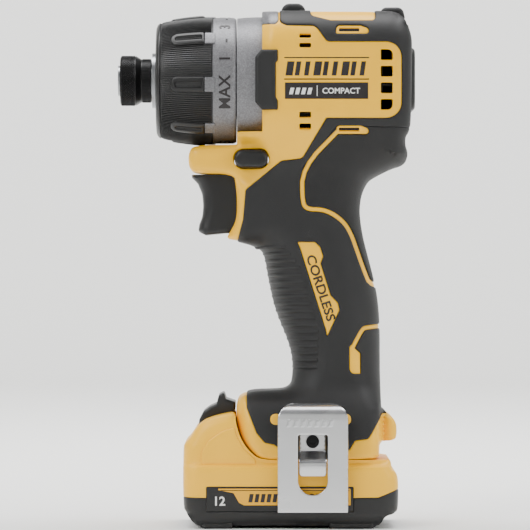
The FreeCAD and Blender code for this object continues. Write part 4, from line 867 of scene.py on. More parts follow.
# ------------------------------------------------------------------------------------ the case
@dataclass
class Case:
    """The two case halves with their rubber, seen as a relief."""

    slot_half: float = 9.35
    rubber_proud: float = 0.5
    relief: Relief = field(init=False)
    widths: tuple[Point, ...] = (
        (28, 29.0), (37, 28.8), (47, 27.2), (53, 25.0), (56.5, 22.6), (61, 19.2), (66, 18.4), (72, 18.0),
        (84, 17.8), (96, 18.1), (110, 18.5), (146, 18.5), (153, 19.0), (161, 20.8), (168, 23.8),
        (174, 26.8), (180, 28.4), (186, 28.5), (240, 28.5))

    def width(self, points: Array) -> Array:
        """The half width before rounding."""
        x, z = points[:, 0], points[:, 1]
        table = np.array(self.widths)
        shifts = np.linspace(-2.5, 2.5, 9)
        wide = sum(np.interp(z + s, table[:, 0], table[:, 1]) for s in shifts) / len(shifts)
        chin = (1 - smooth_step(x, -9.0, 3.0)) * smooth_step(z, 148, 153)
        wide = wide + (np.minimum(wide, 16.8 + 3.4 * smooth_step(z, 166, 171)) - wide) * chin
        lip = (1 - smooth_step(x, -17.0, -8.0)) * (1 - smooth_step(z, 147, 153)) * smooth_step(z, 100, 122)
        wide = wide + (12.8 - wide) * lip
        spur = smooth_step(x, 48.5, 51.5) * (1 - smooth_step(z, 52, 56))
        return wide + (np.minimum(wide, 18.0) - wide) * spur

    @staticmethod
    def outline() -> Array:
        """The side view, once round."""
        top = [(-1.6, 223.7), (-1.6, 224.2), (-1.3, 224.5), (-0.8, 224.5), (52, 224.5), (57.5, 223.6),
               (60.2, 221), (61.6, 217), (62.8, 213), (63, 209)]
        rear = [(62.6, 177), (61.8, 172), (60.3, 170), (60.3, 166), (61.6, 163), (61.1, 160), (59.7, 158),
                (55, 156.7), (45.8, 152), (43.6, 149.5), (41.6, 145), (40.8, 140), (40.8, 135), (42, 127),
                (43.6, 120.5), (46.4, 110), (48.6, 100), (49.6, 88), (49.6, 70), (49.7, 62), (49.7, 51.2)]
        spur = [(51, 50.8), (56.7, 46.5), (57.1, 40.6), (56.3, 37.6), (49.5, 37.4), (49.2, 32.8),
                (49, 29.9)]
        foot = [(5.4, 29.9), (0, 30.2), (-4, 31), (-9.8, 37.2), (-12.8, 45.6), (-12.8, 55), (-10.5, 57.2),
                (-8.3, 57.8), (-5, 58.7), (3, 58.9), (8.5, 59.3), (11.4, 61.5)]
        grip = [(12, 65), (12.3, 70), (11.6, 76), (9.8, 82), (6.8, 89), (4.2, 96), (2.6, 103), (1.2, 110),
                (0.4, 115), (-1, 120.5), (-6, 123), (-10.5, 124.2), (-13, 124.9), (-16.6, 125.4)]
        guard = [(-16.9, 126.6), (-15, 129.5), (-12.8, 134), (-12.6, 143), (-13.2, 149), (-14, 153.8),
                 (-31.5, 154.0), (-33.8, 157), (-33.8, 163.5), (-31, 166.4), (-13.0, 166.4),
                 (-12.6, 166.8), (-12.6, 171.4), (-12.6, 171.9), (-12.0, 172), (-2.2, 172),
                 (-1.6, 172), (-1.6, 172.6)]
        line = softened([*top, *rear, *spur, *foot, *grip, *guard], 2, closed=True)
        return resampled(line, 0.8)

    @staticmethod
    def edges() -> tuple[Edge, ...]:
        """The runs of the side view that are rounded over."""
        top = Edge(((-30, 224.5, 14.6, 14.6), (90, 224.5, 14.6, 14.6)), 0)
        rear = Edge((
            (62.8, 250, 7, 7), (63, 209, 7, 7), (62.6, 177, 7, 7), (61.8, 172, 6, 7), (60.3, 170, 6, 8),
            (60.3, 166, 6, 9), (61.6, 163, 7, 11), (61.1, 160, 9, 13), (59.7, 158, 10, 14),
            (55, 156.7, 12, 15), (45.8, 152, 14, 16), (43.6, 149.5, 15, 17), (41.6, 145, 16, 17),
            (40.8, 140, 16, 17), (40.8, 135, 16, 17), (42, 127, 16, 17), (43.6, 120.5, 16, 17),
            (46.4, 110, 16, 17), (48.6, 100, 16, 17), (49.6, 88, 16, 16.6), (49.6, 70, 15, 16),
            (49.7, 62, 12, 14), (49.7, 55, 9, 10), (49.7, 52, 7, 8), (49.7, 44, 5, 6), (49.6, 20, 4, 4)))
        spur = Edge(((49, 50.8, 2.5, 2.5), (51, 50.8, 2.5, 2.5), (56.7, 46.5, 2.5, 2.5),
                     (57.1, 40.6, 2.5, 2.5), (56.3, 37.6, 2.5, 2.5), (50.5, 37.4, 1, 1)), 2)
        chin = Edge((
            (-12.6, 172, 1, 1), (-12.6, 166.4, 3, 3), (-31, 166.4, 4, 4), (-33.8, 163.5, 4, 4),
            (-33.8, 157, 4, 4), (-31.5, 154.0, 3, 3), (-14, 153.8, 2.5, 2.5), (-13.2, 149, 2.5, 2.5),
            (-12.6, 143, 3, 3), (-12.8, 134, 3, 3), (-15, 129.5, 3, 3), (-16.9, 126.6, 3, 3),
            (-16.6, 125.4, 3, 3), (-13, 124.9, 3, 3), (-10.5, 124.2, 5, 5), (-6, 123, 10, 10),
            (-1, 120.5, 15, 15), (0.4, 115, 17, 16.8), (1.2, 110, 17, 17), (2.6, 103, 17, 17),
            (4.2, 96, 17, 16.8), (6.8, 89, 17, 16.6), (9.8, 82, 17, 16.4), (11.6, 76, 16, 16.2),
            (12.3, 70, 16, 16), (12, 65, 14, 15), (11.4, 61.5, 11, 12), (8.5, 59.3, 9, 10),
            (3, 58.9, 8, 9), (-5, 58.7, 7, 8), (-8.3, 57.8, 7, 8), (-10.5, 57.2, 7, 8), (-12.8, 55, 7, 8),
            (-12.8, 45.6, 7, 8), (-9.8, 37.2, 6, 6), (-4, 31, 3, 3), (0, 30.2, 1.5, 1)))
        low = Edge(((0, 29.9, 1.5, 1.0), (60, 29.9, 1.5, 1.0)), 0)
        front = Edge(((-1.6, 170, 0.8, 0.6), (-1.6, 240, 0.8, 0.6)), 0)
        return top, rear, spur, chin, low, front

    def seam(self, points: Array) -> Array:
        """How near the middle the halves come: they stay clear of the trigger."""
        x, z = points[:, 0], points[:, 1]
        slot = (x > -26) & (x < -6) & (z > 126) & (z < 154.8)
        return np.where(slot, self.slot_half, 0.04)

    @staticmethod
    def vents() -> list[Array]:
        """The air slots' outlines."""
        rear = [(49.7, -13.9 + 7.2 * i, 5.1, 4.6) for i in range(4)]
        front = [(14.5, 17.3, 5.0, 1.9), (14.5, 13.1, 5.0, 1.9), (14.5, -17.4, 5.0, 2.6),
                 (14.5, -22.5, 5.0, 2.6)]
        slots = []
        for i, (x, z, w, h) in enumerate(rear + front):
            low, high = (2.6 if i == 0 else 0.5), (2.6 if i == 3 else 0.5)
            slots.append(rounded([(x, up(z), 0.5), (x + w, up(z), low), (x + w, up(z + h), high),
                                  (x, up(z + h), 0.5)], 0.6))
        return slots

    @staticmethod
    def bar_hole() -> Array:
        """The hole for the direction bar."""
        return pill("direction_bar", 0.35, 0.6)

    @staticmethod
    def head_rubber() -> Array:
        """The rubber round the yellow side panel."""
        return rounded([
            (6.1, up(45), 0), (6.1, up(24.2), 2.0), (9.0, up(22.9), 2.0), (21.5, up(22.7), 4.0),
            (26.4, up(15.7), 2.0), (58.8, up(15.7), 7.0), (58.8, up(-17.5), 7.0), (26.2, up(-17.5), 0.6),
            (15.8, up(-34.8), 3.0), (6.7, up(-35.8), 3.0), (-8.8, 146.7, 2.0), (-9.9, 133.8, 2.0),
            (-12.3, 124.8, 1.0), (-14, 122, 0), (-14, 90, 0), (-8, 62.5, 0), (-8.4, 57, 1),
            (-8.2, 52.0, 3.0), (-4.0, 41.4, 2.0), (-0.5, 37.2, 1.5), (3.6, 36.4, 1.5),
            (7.0, 34.0, 1.0), (36.0, 34.0, 1.0), (38.5, 38.2, 1.5), (44.1, 38.8, 2.0),
            (45.8, 41.4, 2.0), (50.6, 49.6, 0.5), (70, 50.2, 0), (70, up(45), 0)])

    @staticmethod
    def piping() -> list[Array]:
        """The yellow lines let into the rubber."""
        long = ribbon([(32.0, up(-22.2)), (15.8, 156.3), (15.8, 140.8), (18.3, 138.2), (24.2, 138.2),
                       (29.3, 136.3), (34.5, 132.3), (37.6, 126.7), (40.0, 119.7), (43.1, 111.0),
                       (45.7, 104.9), (60.0, 103.5)], 1.05)
        low = ribbon([(60.0, 87.6), (43.6, 87.0), (41.6, 85.4), (37.2, 77.0)], 1.0)
        tab = rounded([(36.3, 78.6, 1.0), (36.3, 66.6, 2.4), (41.2, 66.6, 0.3), (41.2, 75.6, 0.6),
                       (38.9, 77.6, 0.6), (38.2, 80.0, 0.2)])
        badge = rounded([
            (13.6, 124.1, 0.3), (21.3, 124.1, 1.5), (23.6, 121.9, 1.5), (25.0, 117.7, 1.0),
            (23.8, 114.7, 1.0), (28.2, 100.8, 1.0), (31.3, 97.6, 1.5), (32.1, 94.4, 2.0),
            (26.6, 82.7, 0.3), (26.0, 86.0, 0.6), (15.4, 119.6, 1.0), (14.6, 122.0, 0.4)])
        windows = [rounded([(30.0, up(z - 1.9), 0.8), (44.5, up(z - 1.9), 1.6), (44.5, up(z + 0.6), 1.6),
                            (41.0, up(z + 1.9), 1.2), (30.6, up(z + 1.9), 1.7)]) for z in (20.9, -22.5)]
        return [long, low, tab, badge, *windows]

    @staticmethod
    def window_slots() -> list[Array]:
        """The small dark slots inside the two yellow windows."""
        return [rectangle(31.6, up(z - 0.8), 40.4, up(z + 0.8), 0.4, 0.6) for z in (20.9, -22.5)]

    @staticmethod
    def palm() -> Array:
        """The darker palm pad behind the long line."""
        return rounded([(30.8, up(-20.6), 0), (15.8, 156.3, 2), (15.8, 140.8, 2), (18.3, 138.2, 1),
                        (24.2, 138.2, 2), (29.3, 136.3, 2), (34.5, 132.3, 3), (37.6, 126.7, 3),
                        (40.0, 119.7, 2), (43.1, 111.0, 3), (45.7, 104.9, 1), (75.0, 103.5, 0),
                        (75.0, up(-21.6), 0)])

    @staticmethod
    def top_plate() -> Array:
        """The yellow plate on top of the head."""
        return rounded([(19.4, up(45), 0), (19.4, up(27.2), 2.0), (28.0, up(24.9), 1.0),
                        (47.4, up(24.9), 1.6), (47.4, up(45), 0)])

    @staticmethod
    def tongue() -> Array:
        """The silver tongue of the nose on top of the head."""
        return rounded([(-3, up(45), 0), (-3, up(23.4), 0), (4.4, up(23.4), 1.5), (5.4, up(25), 1),
                        (5.4, up(45), 0)])

    @staticmethod
    def pocket() -> Array:
        """The recess that holds the hook's tongue."""
        return rounded([(12.2, 28, 0), (28.2, 28, 0), (28.2, 53.0, 2), (12.2, 53.0, 2)])

    def named_lines(self) -> list[tuple[str, Array]]:
        """Each line of the side view with what it holds, the first that holds a place winning."""
        holes = [("hole", line) for line in [*self.vents(), self.bar_hole(), *self.window_slots(),
                                             self.pocket()]]
        trim = [("yellow", line) for line in self.piping()]
        return [*holes, *trim, ("yellow", self.top_plate()), ("silver", self.tongue()),
                ("split", self.palm()), ("grip", self.head_rubber())]

    def build(self) -> None:
        """Makes the case halves and their rubber, with the tongue, recess floors, humps and tabs."""
        named = self.named_lines()
        self.relief = Relief(self.outline(), self.edges(), self.width, [line for _, line in named], 1.15,
                             self.seam)
        patch = self.relief.patch
        kind = np.full(len(patch.faces), "yellow", dtype="<U8")
        rubber = inside(patch.centres, self.head_rubber())
        for label, line in reversed(named):
            held = inside(patch.centres, line)
            if label == "split":
                kind[held & rubber] = "palm"
            else:
                kind[held] = label
        areas = (
            (Area("shell", 0.0, 2.2), "yellow", YELLOW, "yellow_plastic"),
            (Area("rubber", self.rubber_proud, 1.3), "grip", RUBBER, "grip_rubber"),
            (Area("palm_pad", self.rubber_proud, 1.3), "palm", DARK_RUBBER, "grip_rubber"),
            (Area("nose_tongue", 0.15, 1.3), "silver", SILVER, "nose_silver"),
        )
        for area, label, finish, slot in areas:
            half = self.relief.area(area, kind == label)
            for side, shape in (("left", half), ("right", half.mirrored())):
                stands = {"shell": [f"{side}_shell"], "rubber": [f"{side}_rubber"]}.get(area.name, [])
                Dress(finish, "housing", slot).piece(f"{side}_{area.name}_look", shape, *stands)
        self.pockets()
        self.bumps()
        self.tabs()

    def pockets(self) -> None:
        """The floors of the recesses under the hook and behind the window slots, on both sides."""
        outline = rounded([(11.4, 29.9, 0), (29.0, 29.9, 0), (29.0, 53.8, 2), (11.4, 53.8, 2)])
        floor = plate(outline, 24.6, 22.4)
        backs = [plate(rectangle(30.8, up(z - 1.4), 41.2, up(z + 1.4), 0.3), outer, outer - 2)
                 for z, outer in ((20.9, 26.2), (-22.5, 24.4))]
        Dress(BLACK, "housing", "black_plastic").piece("hook_recess", both_sides(floor, *backs))

    def tabs(self) -> None:
        """The small yellow tabs beside the hook's seat."""
        tabs = [plate(rectangle(x0, 44.8, x0 + 4.8, 49.6, 2.2, 0.6), 28.3, 25.6, 0.6, 1.2)
                for x0 in (1.9, 32.0)]
        Dress(YELLOW, "housing", "yellow_plastic").piece("hook_tabs", both_sides(*tabs))

    def bumps(self) -> None:
        """The two rubber humps across the head's top."""
        for name, low, high, top, half in (("front_hump", 6.2, 17.8, 228.4, 11.0),
                                           ("rear_hump", 49.4, 60.8, 226.6, 12.5)):
            outline = rounded([(low, 222.0, 0), (low + 1.1, top, 5.2), (high - 1.1, top, 5.2),
                               (high, 222.0, 0)], 0.5)
            rows = tuple((x, z, 1.6, 1.6) for x, z in outline[::3])
            hump = Relief(outline, (Edge(rows, 1),), level(half), (), 1.0)
            Dress(RUBBER, "housing", "grip_rubber").piece(name, hump.whole())


@dataclass
class GripRibs:
    """The ribs across the front of the grip."""

    relief: Relief
    tubes: TubeGrower
    radius: float = 1.3
    sunk: float = 0.08
    pitch: float = 3.1
    low: float = 69.5
    count: int = 18
    lean: float = 0.005
    right_edge: tuple[Point, ...] = ((69, 22.7), (77, 23.0), (86, 23.5), (95, 21.0), (103, 18.7),
                                     (112.6, 15.6), (118, 12.0), (123, 8.5))

    def front(self, z: float) -> float:
        """The grip's front at a height."""
        outline = self.relief.patch.outline
        near = outline[(np.abs(outline[:, 1] - z) < 1.2) & (outline[:, 0] < 25)]
        return float(np.interp(z, np.sort(near[:, 1]), near[np.argsort(near[:, 1]), 0]))

    def path(self, z: float) -> Array:
        """One rib's line, from the left side round the front to the right."""
        edge = np.array(self.right_edge)
        front, end = self.front(z), float(np.interp(z, edge[:, 0], edge[:, 1]))
        share = np.linspace(0, 1, 26) ** 1.9
        x = front + 0.02 + (end - front) * share[::-1]
        flat = np.stack((x, np.full(len(x), z - self.lean * (x[0] - front))), axis=1)
        half = self.relief.height(flat)
        side = np.stack((x, -half + self.sunk + 0.25, flat[:, 1]), axis=1)
        side[:, 0] += 0.6 * np.clip(1 - (x - front) / 6, 0, 1)
        side[0, 1] += 1.2
        return np.vstack((side, side[::-1] * (1, -1, 1)))

    def build(self) -> None:
        """Makes the ribs."""
        paths = [self.path(self.low + self.pitch * i) for i in range(self.count)]
        ribs = self.tubes.tubes(paths, self.radius, RUBBER, 16)
        Dress(RUBBER, "housing", "grip_rubber").piece("grip_ribs", ribs)


@dataclass
class Prints:
    """What is printed on the case's sides: plain bars and plain words."""

    relief: Relief
    face: float = 28.5
    thick: float = 0.07
    badge_stretch: float = 1.12

    def bar(self, x0: float, z0: float, x1: float, z1: float, slant: float = 0.0) -> Shape:
        """A printed bar from one corner to the other."""
        outline = resampled(np.array([(x0, z0), (x1, z0), (x1 + slant, z1), (x0 + slant, z1)]), 2.0)
        return plate(outline, self.face + self.thick, self.face - 0.3)

    def build(self) -> None:
        """Makes the prints of both sides."""
        black = [self.bar(7.9, up(8.4), 44.6, up(8.9)), self.bar(7.9, up(-0.9), 44.6, up(-0.4))]
        for i in range(9):
            wide = 2.9 if i % 3 else 4.0
            black.append(self.bar(8.4 + 4.0 * i, up(0.9), 8.4 + 4.0 * i + wide - 0.9, up(7.0), 0.9))
        black.append(self.bar(8.2, up(-9.2), 44.2, up(-2.1)))
        light = [self.bar(10.0 + 2.6 * i, up(-7.2), 11.6 + 2.6 * i, up(-4.4), 0.7) for i in range(4)]
        light.append(self.bar(22.0, up(-8.0), 22.3, up(-3.4)))
        raised = both_sides(*(shape.moved(y=-0.06) for shape in light))
        words = word_on_sides("COMPACT", 3.4, (32.5, -self.face - self.thick, up(-5.8)))
        dark_print = Dress(BLACK_INK, "housing", "label_film")
        dark_print.piece("side_prints", both_sides(*black), "side_labels")
        Dress(WHITE_INK, "housing", "label_film").piece("side_prints_light", together([raised, *words]))
        dark_print.piece("badge_word", self.badge())

    def badge(self) -> Shape:
        """The word on the left side's badge, turned along it and laid on the case."""
        word = lettering("CORDLESS", 5.6, 0.4)
        turn = math.atan2(-32.0, 10.4)
        along, across = math.cos(turn), math.sin(turn)
        x, z = word.points[:, 0] * self.badge_stretch, word.points[:, 2]
        place = np.stack((23.7 + x * along - z * across, 104.0 + x * across + z * along), axis=1)
        y = word.points[:, 1] - self.relief.height(place) - 0.02
        return Shape(np.stack((place[:, 0], y, place[:, 1]), axis=1), word.faces)


@dataclass
class Nose:
    """The rubber pads beside the nose."""

    def build(self) -> None:
        """Makes the two rubber pads."""
        outline = rounded([
            (-4.6, up(-10.6), 0.6), (-1.6, up(-13.9), 0.8), (5.2, up(-13.9), 0.6), (5.2, up(-9.9), 0.4),
            (4.3, up(-8.4), 0.4), (4.3, up(6.4), 0.4), (5.2, up(7.5), 0.4), (5.2, up(12.2), 0.6),
            (-2.0, up(12.2), 0.8), (-4.6, up(9.0), 0.6)], 0.5)
        pad = plate(outline, 29.6, 27.0, 1.1, 1.2)
        Dress(RUBBER, "housing", "grip_rubber").piece("nose_pad_pair", both_sides(pad), "nose_pads")


@dataclass
class Dial:
    """The clutch dial: a ribbed grip ring with eight lobes, and a scale ring with tabs."""

    rings: RingGrower
    rib_count: int = 176
    rib_height: float = 0.42
    lobe_count: int = 8
    first_lobe: float = -6.0
    bore: float = 24.4
    scale_radius: float = 27.7
    profile: tuple[Point, ...] = ((-48.0, 23.2), (-47.6, 24.3), (-46.6, 25.2), (-43.5, 26.0), (-39.0, 26.8),
                                  (-34.0, 27.5), (-29.0, 28.0), (-23.3, 28.0))

    def radius(self, x: Array) -> Array:
        """The grip's outer radius at each x."""
        table = np.array(self.profile)
        return np.interp(x, table[:, 0], table[:, 1])

    def build(self) -> None:
        """Makes the dial's pieces."""
        body = [(-48.0, 11.0), (-48.0, 22.4), (-47.7, 23.4)]
        body += [(x, r - self.rib_height) for x, r in self.profile[2:]]
        body += [(-23.3, self.bore), (-40.0, self.bore), (-45.6, 23.0), (-45.6, 11.0)]
        ribs = self.rings.ring(self.rib(), BLACK, self.rib_count)
        smooth_band = lathe([(-48.0, 22.2), (-48.0, 23.2), (-47.5, 24.4), (-46.6, 25.25), (-46.2, 25.3),
                             (-46.0, 24.9), (-46.0, 22.2)])
        lobes = self.rings.ring(self.lobe(), BLACK, self.lobe_count)
        Dress(BLACK, "dial", "black_plastic", 40).piece(
            "dial_grip_look", together([lathe(body), ribs, smooth_band, lobes]), "dial_grip")
        self.scale()

    def rib(self) -> Shape:
        """One rib, along the grip at the left side's level."""
        x = np.array((-46.1, -45.0, -43.5, -41.0, -39.0, -36.5, -34.0, -31.0, -29.0, -26.0, -24.4, -23.6))
        top = self.radius(x)
        top[0] -= 0.35
        points, faces = [], []
        for xi, ri in zip(x, top):
            for across, fall in ((-0.36, 0.75), (-0.2, 0.1), (0.0, 0.0), (0.2, 0.1), (0.36, 0.75)):
                points.append((xi, -(ri - fall), across))
        count = len(x)
        for k in range(count - 1):
            for i in range(5):
                j = (i + 1) % 5
                faces.append((5 * k + i, 5 * k + j, 5 * k + 5 + j, 5 * k + 5 + i))
        faces += [(4, 3, 2, 1, 0), tuple(5 * (count - 1) + i for i in range(5))]
        return Shape(np.array(points), faces)

    def lobe(self) -> Shape:
        """One pill-shaped lobe with its recess, at the first lobe's angle."""
        outline = rounded([(-41.6, -3.4, 3.3), (-26.6, -3.4, 0.8), (-26.6, 3.4, 0.8),
                           (-41.6, 3.4, 3.3)], 0.5)
        inner = rounded([(-39.8, -1.55, 1.5), (-27.6, -1.55, 0.7), (-27.6, 1.55, 0.7),
                         (-39.8, 1.55, 1.5)], 0.5)
        patch = Patch(outline, (inner,), 0.8, (0.15, 0.4, 0.8))
        gap = nearest(patch.flat, outline, np.roll(outline, -1, axis=0))[0]
        deep = nearest(patch.flat, inner, np.roll(inner, -1, axis=0))[0]
        held = inside(patch.flat, inner)
        rise = 0.55 - over(gap, 0.9, 0.9) - np.where(held, 0.8 * smooth_step(deep, 0.0, 0.7), 0.0)
        return self.on_dial(patch, rise, 1.6, self.radius)

    def on_dial(self, patch: Patch, rise: Array, depth: float, radius: Callable[[Array], Array]) -> Shape:
        """Bends a flat patch round the dial at the first lobe, ready to be copied round it.

        Args:
            patch: The patch, its first axis along the spindle.
            rise: How far each of its points stands off the dial.
            depth: How far it reaches into the dial.
            radius: The dial's radius at each place along the spindle.

        Returns:
            The closed shape, its height counted from the spindle.
        """
        top = wrapped(patch.flat, rise, radius, self.first_lobe)
        low = wrapped(patch.flat, np.full(len(rise), -depth), radius, self.first_lobe)
        return patch.solid(np.ones(len(patch.faces), bool), top, low).moved(z=-AXIS)

    def scale(self) -> None:
        """The silver scale ring, its tabs, numbers and ticks."""
        ring = lathe([(-23.2, self.bore), (-23.2, 27.4), (-22.8, self.scale_radius),
                      (-14.6, self.scale_radius), (-13.6, 27.5), (-12.95, 26.9), (-12.95, self.bore)])
        outline = rounded([(-26.6, -3.3, 0.5), (-22.0, -3.3, 0), (-22.0, 3.3, 0), (-26.6, 3.3, 0.5)], 0.6)
        patch = Patch(outline, (), 1.0, (0.15, 0.4))
        gap = nearest(patch.flat, outline, np.roll(outline, -1, axis=0))[0]
        tab = self.on_dial(patch, -over(gap, 0.4, 0.4), 1.4, level(self.scale_radius + 0.4))
        tabs = self.rings.ring(tab, SILVER, self.lobe_count)
        Dress(SILVER, "dial", "nose_silver").piece("dial_scale_look", together([ring, tabs]),
                                                   "dial_scale_ring")
        first, step = 17.6, 37.4
        marks = [self.mark(str(2 * i + 1), first + step * i) for i in range(8)]
        marks += [self.mark("-", first + step * (i + 0.5)) for i in range(7)]
        marks.append(self.mark("MAX", -13.4, 7.0))
        Dress(BLACK_INK, "dial", "label_film").piece("dial_marks", together(marks))

    def mark(self, text: str, turn: float, size: float = 6.6) -> Shape:
        """A mark on the scale ring, reading upwards at the left side."""
        word = lettering(text, size, 0.3)
        flat = np.stack((-17.6 - word.points[:, 2], word.points[:, 0]), axis=1)
        return Shape(wrapped(flat, -word.points[:, 1], level(self.scale_radius), turn), word.faces)


@dataclass
class Chuck:
    """The bit chuck's sleeve, knurled in front and finely lined behind."""

    rings: RingGrower
    knurl_count: int = 60
    knurl_rows: int = 10
    line_count: int = 90

    def build(self) -> None:
        """Makes the chuck's pieces."""
        sleeve = lathe([(-63.9, 7.2), (-63.9, 10.3), (-63.3, 10.8), (-57.4, 10.8), (-57.0, 10.9),
                        (-54.7, 9.5), (-50.5, 9.5), (-50.3, 9.3), (-50.3, 7.2)], 128)
        diamond, wide = self.diamond(1.16, 0.42), 1.16
        knurl = self.rings.ring(diamond, OXIDE, self.knurl_count, self.knurl_rows,
                                stagger=180 / self.knurl_count, row_pitch=wide / 2)
        lines = self.rings.ring(self.line(), OXIDE, self.line_count)
        Dress(OXIDE, "chuck_sleeve", "black_steel", 25).piece(
            "sleeve_look", together([sleeve, knurl.moved(x=-63.1), lines]), "chuck_sleeve")

    @staticmethod
    def diamond(wide: float, high: float) -> Shape:
        """One point of the knurl, at the left side's level."""
        half, foot = wide / 2, -10.7
        points = np.array([(-half, foot, 0), (0, foot, -half), (half, foot, 0), (0, foot, half),
                           (0, foot - high, 0), (0, foot + 0.3, 0)])
        faces = [(0, 1, 4), (1, 2, 4), (2, 3, 4), (3, 0, 4), (1, 0, 5), (2, 1, 5), (3, 2, 5), (0, 3, 5)]
        return Shape(points, faces)

    @staticmethod
    def line() -> Shape:
        """One fine line along the sleeve's neck."""
        corners = [(-54.2, -9.4, -0.2), (-54.2, -9.62, 0), (-54.2, -9.4, 0.2), (-50.6, -9.4, -0.2),
                   (-50.6, -9.62, 0), (-50.6, -9.4, 0.2)]
        return Shape(np.array(corners), [(0, 1, 2), (5, 4, 3), (1, 0, 3, 4), (2, 1, 4, 5), (0, 2, 5, 3)])


@dataclass
class Controls:
    """The trigger and the direction bar."""

    trigger_half: float = 9.0

    def build(self) -> None:
        """Makes both."""
        outline = rounded([
            (-32.7, 153.6, 0.5), (-32.4, 152.2, 0.8), (-29.9, 149.6, 2.5), (-28.0, 145.2, 9),
            (-27.5, 140.0, 12), (-27.9, 135.4, 9), (-29.3, 131.6, 4), (-29.7, 128.6, 1.6),
            (-26.4, 127.0, 1.5), (-17.4, 127.9, 2), (-8.2, 128.6, 1.0), (-8.2, 153.6, 1.0)], 0.7)
        front = Edge(((-33.4, 156, 4.6, 4.4), (-32.6, 152.4, 4.6, 4.4), (-29.9, 149.6, 4.8, 4.6),
                      (-28.0, 145.2, 5, 4.8), (-27.5, 140.0, 5, 4.8), (-27.9, 135.4, 5, 4.8),
                      (-29.3, 131.6, 5, 4.8), (-29.9, 128.0, 4, 4), (-30.4, 124, 4, 4)))
        under = Edge(((-34, 126.4, 2.2, 2.0), (-26.4, 127.0, 2.2, 2.0), (-17.4, 127.9, 2, 1.6),
                      (-5, 128.6, 2, 1.6)))
        trigger = Relief(outline, (front, under), level(self.trigger_half), (), 0.9)
        Dress(BLACK, "trigger", "black_plastic").piece("trigger_look", trigger.whole(), "trigger")
        self.bar()

    def bar(self) -> None:
        """The direction bar, a pill through the case with its ends rounded over."""
        outline = pill("direction_bar", 0.0, 0.5)
        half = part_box("direction_bar")[1].y / MM
        rows = tuple((x, z, 1.8, 1.4) for x, z in [*outline[::2], outline[0]])
        bar = Relief(outline, (Edge(rows, 1),), level(half), (), 0.8)
        Dress(BLACK, "direction_bar", "black_plastic").piece("direction_bar_look", bar.whole(),
                                                             "direction_bar")


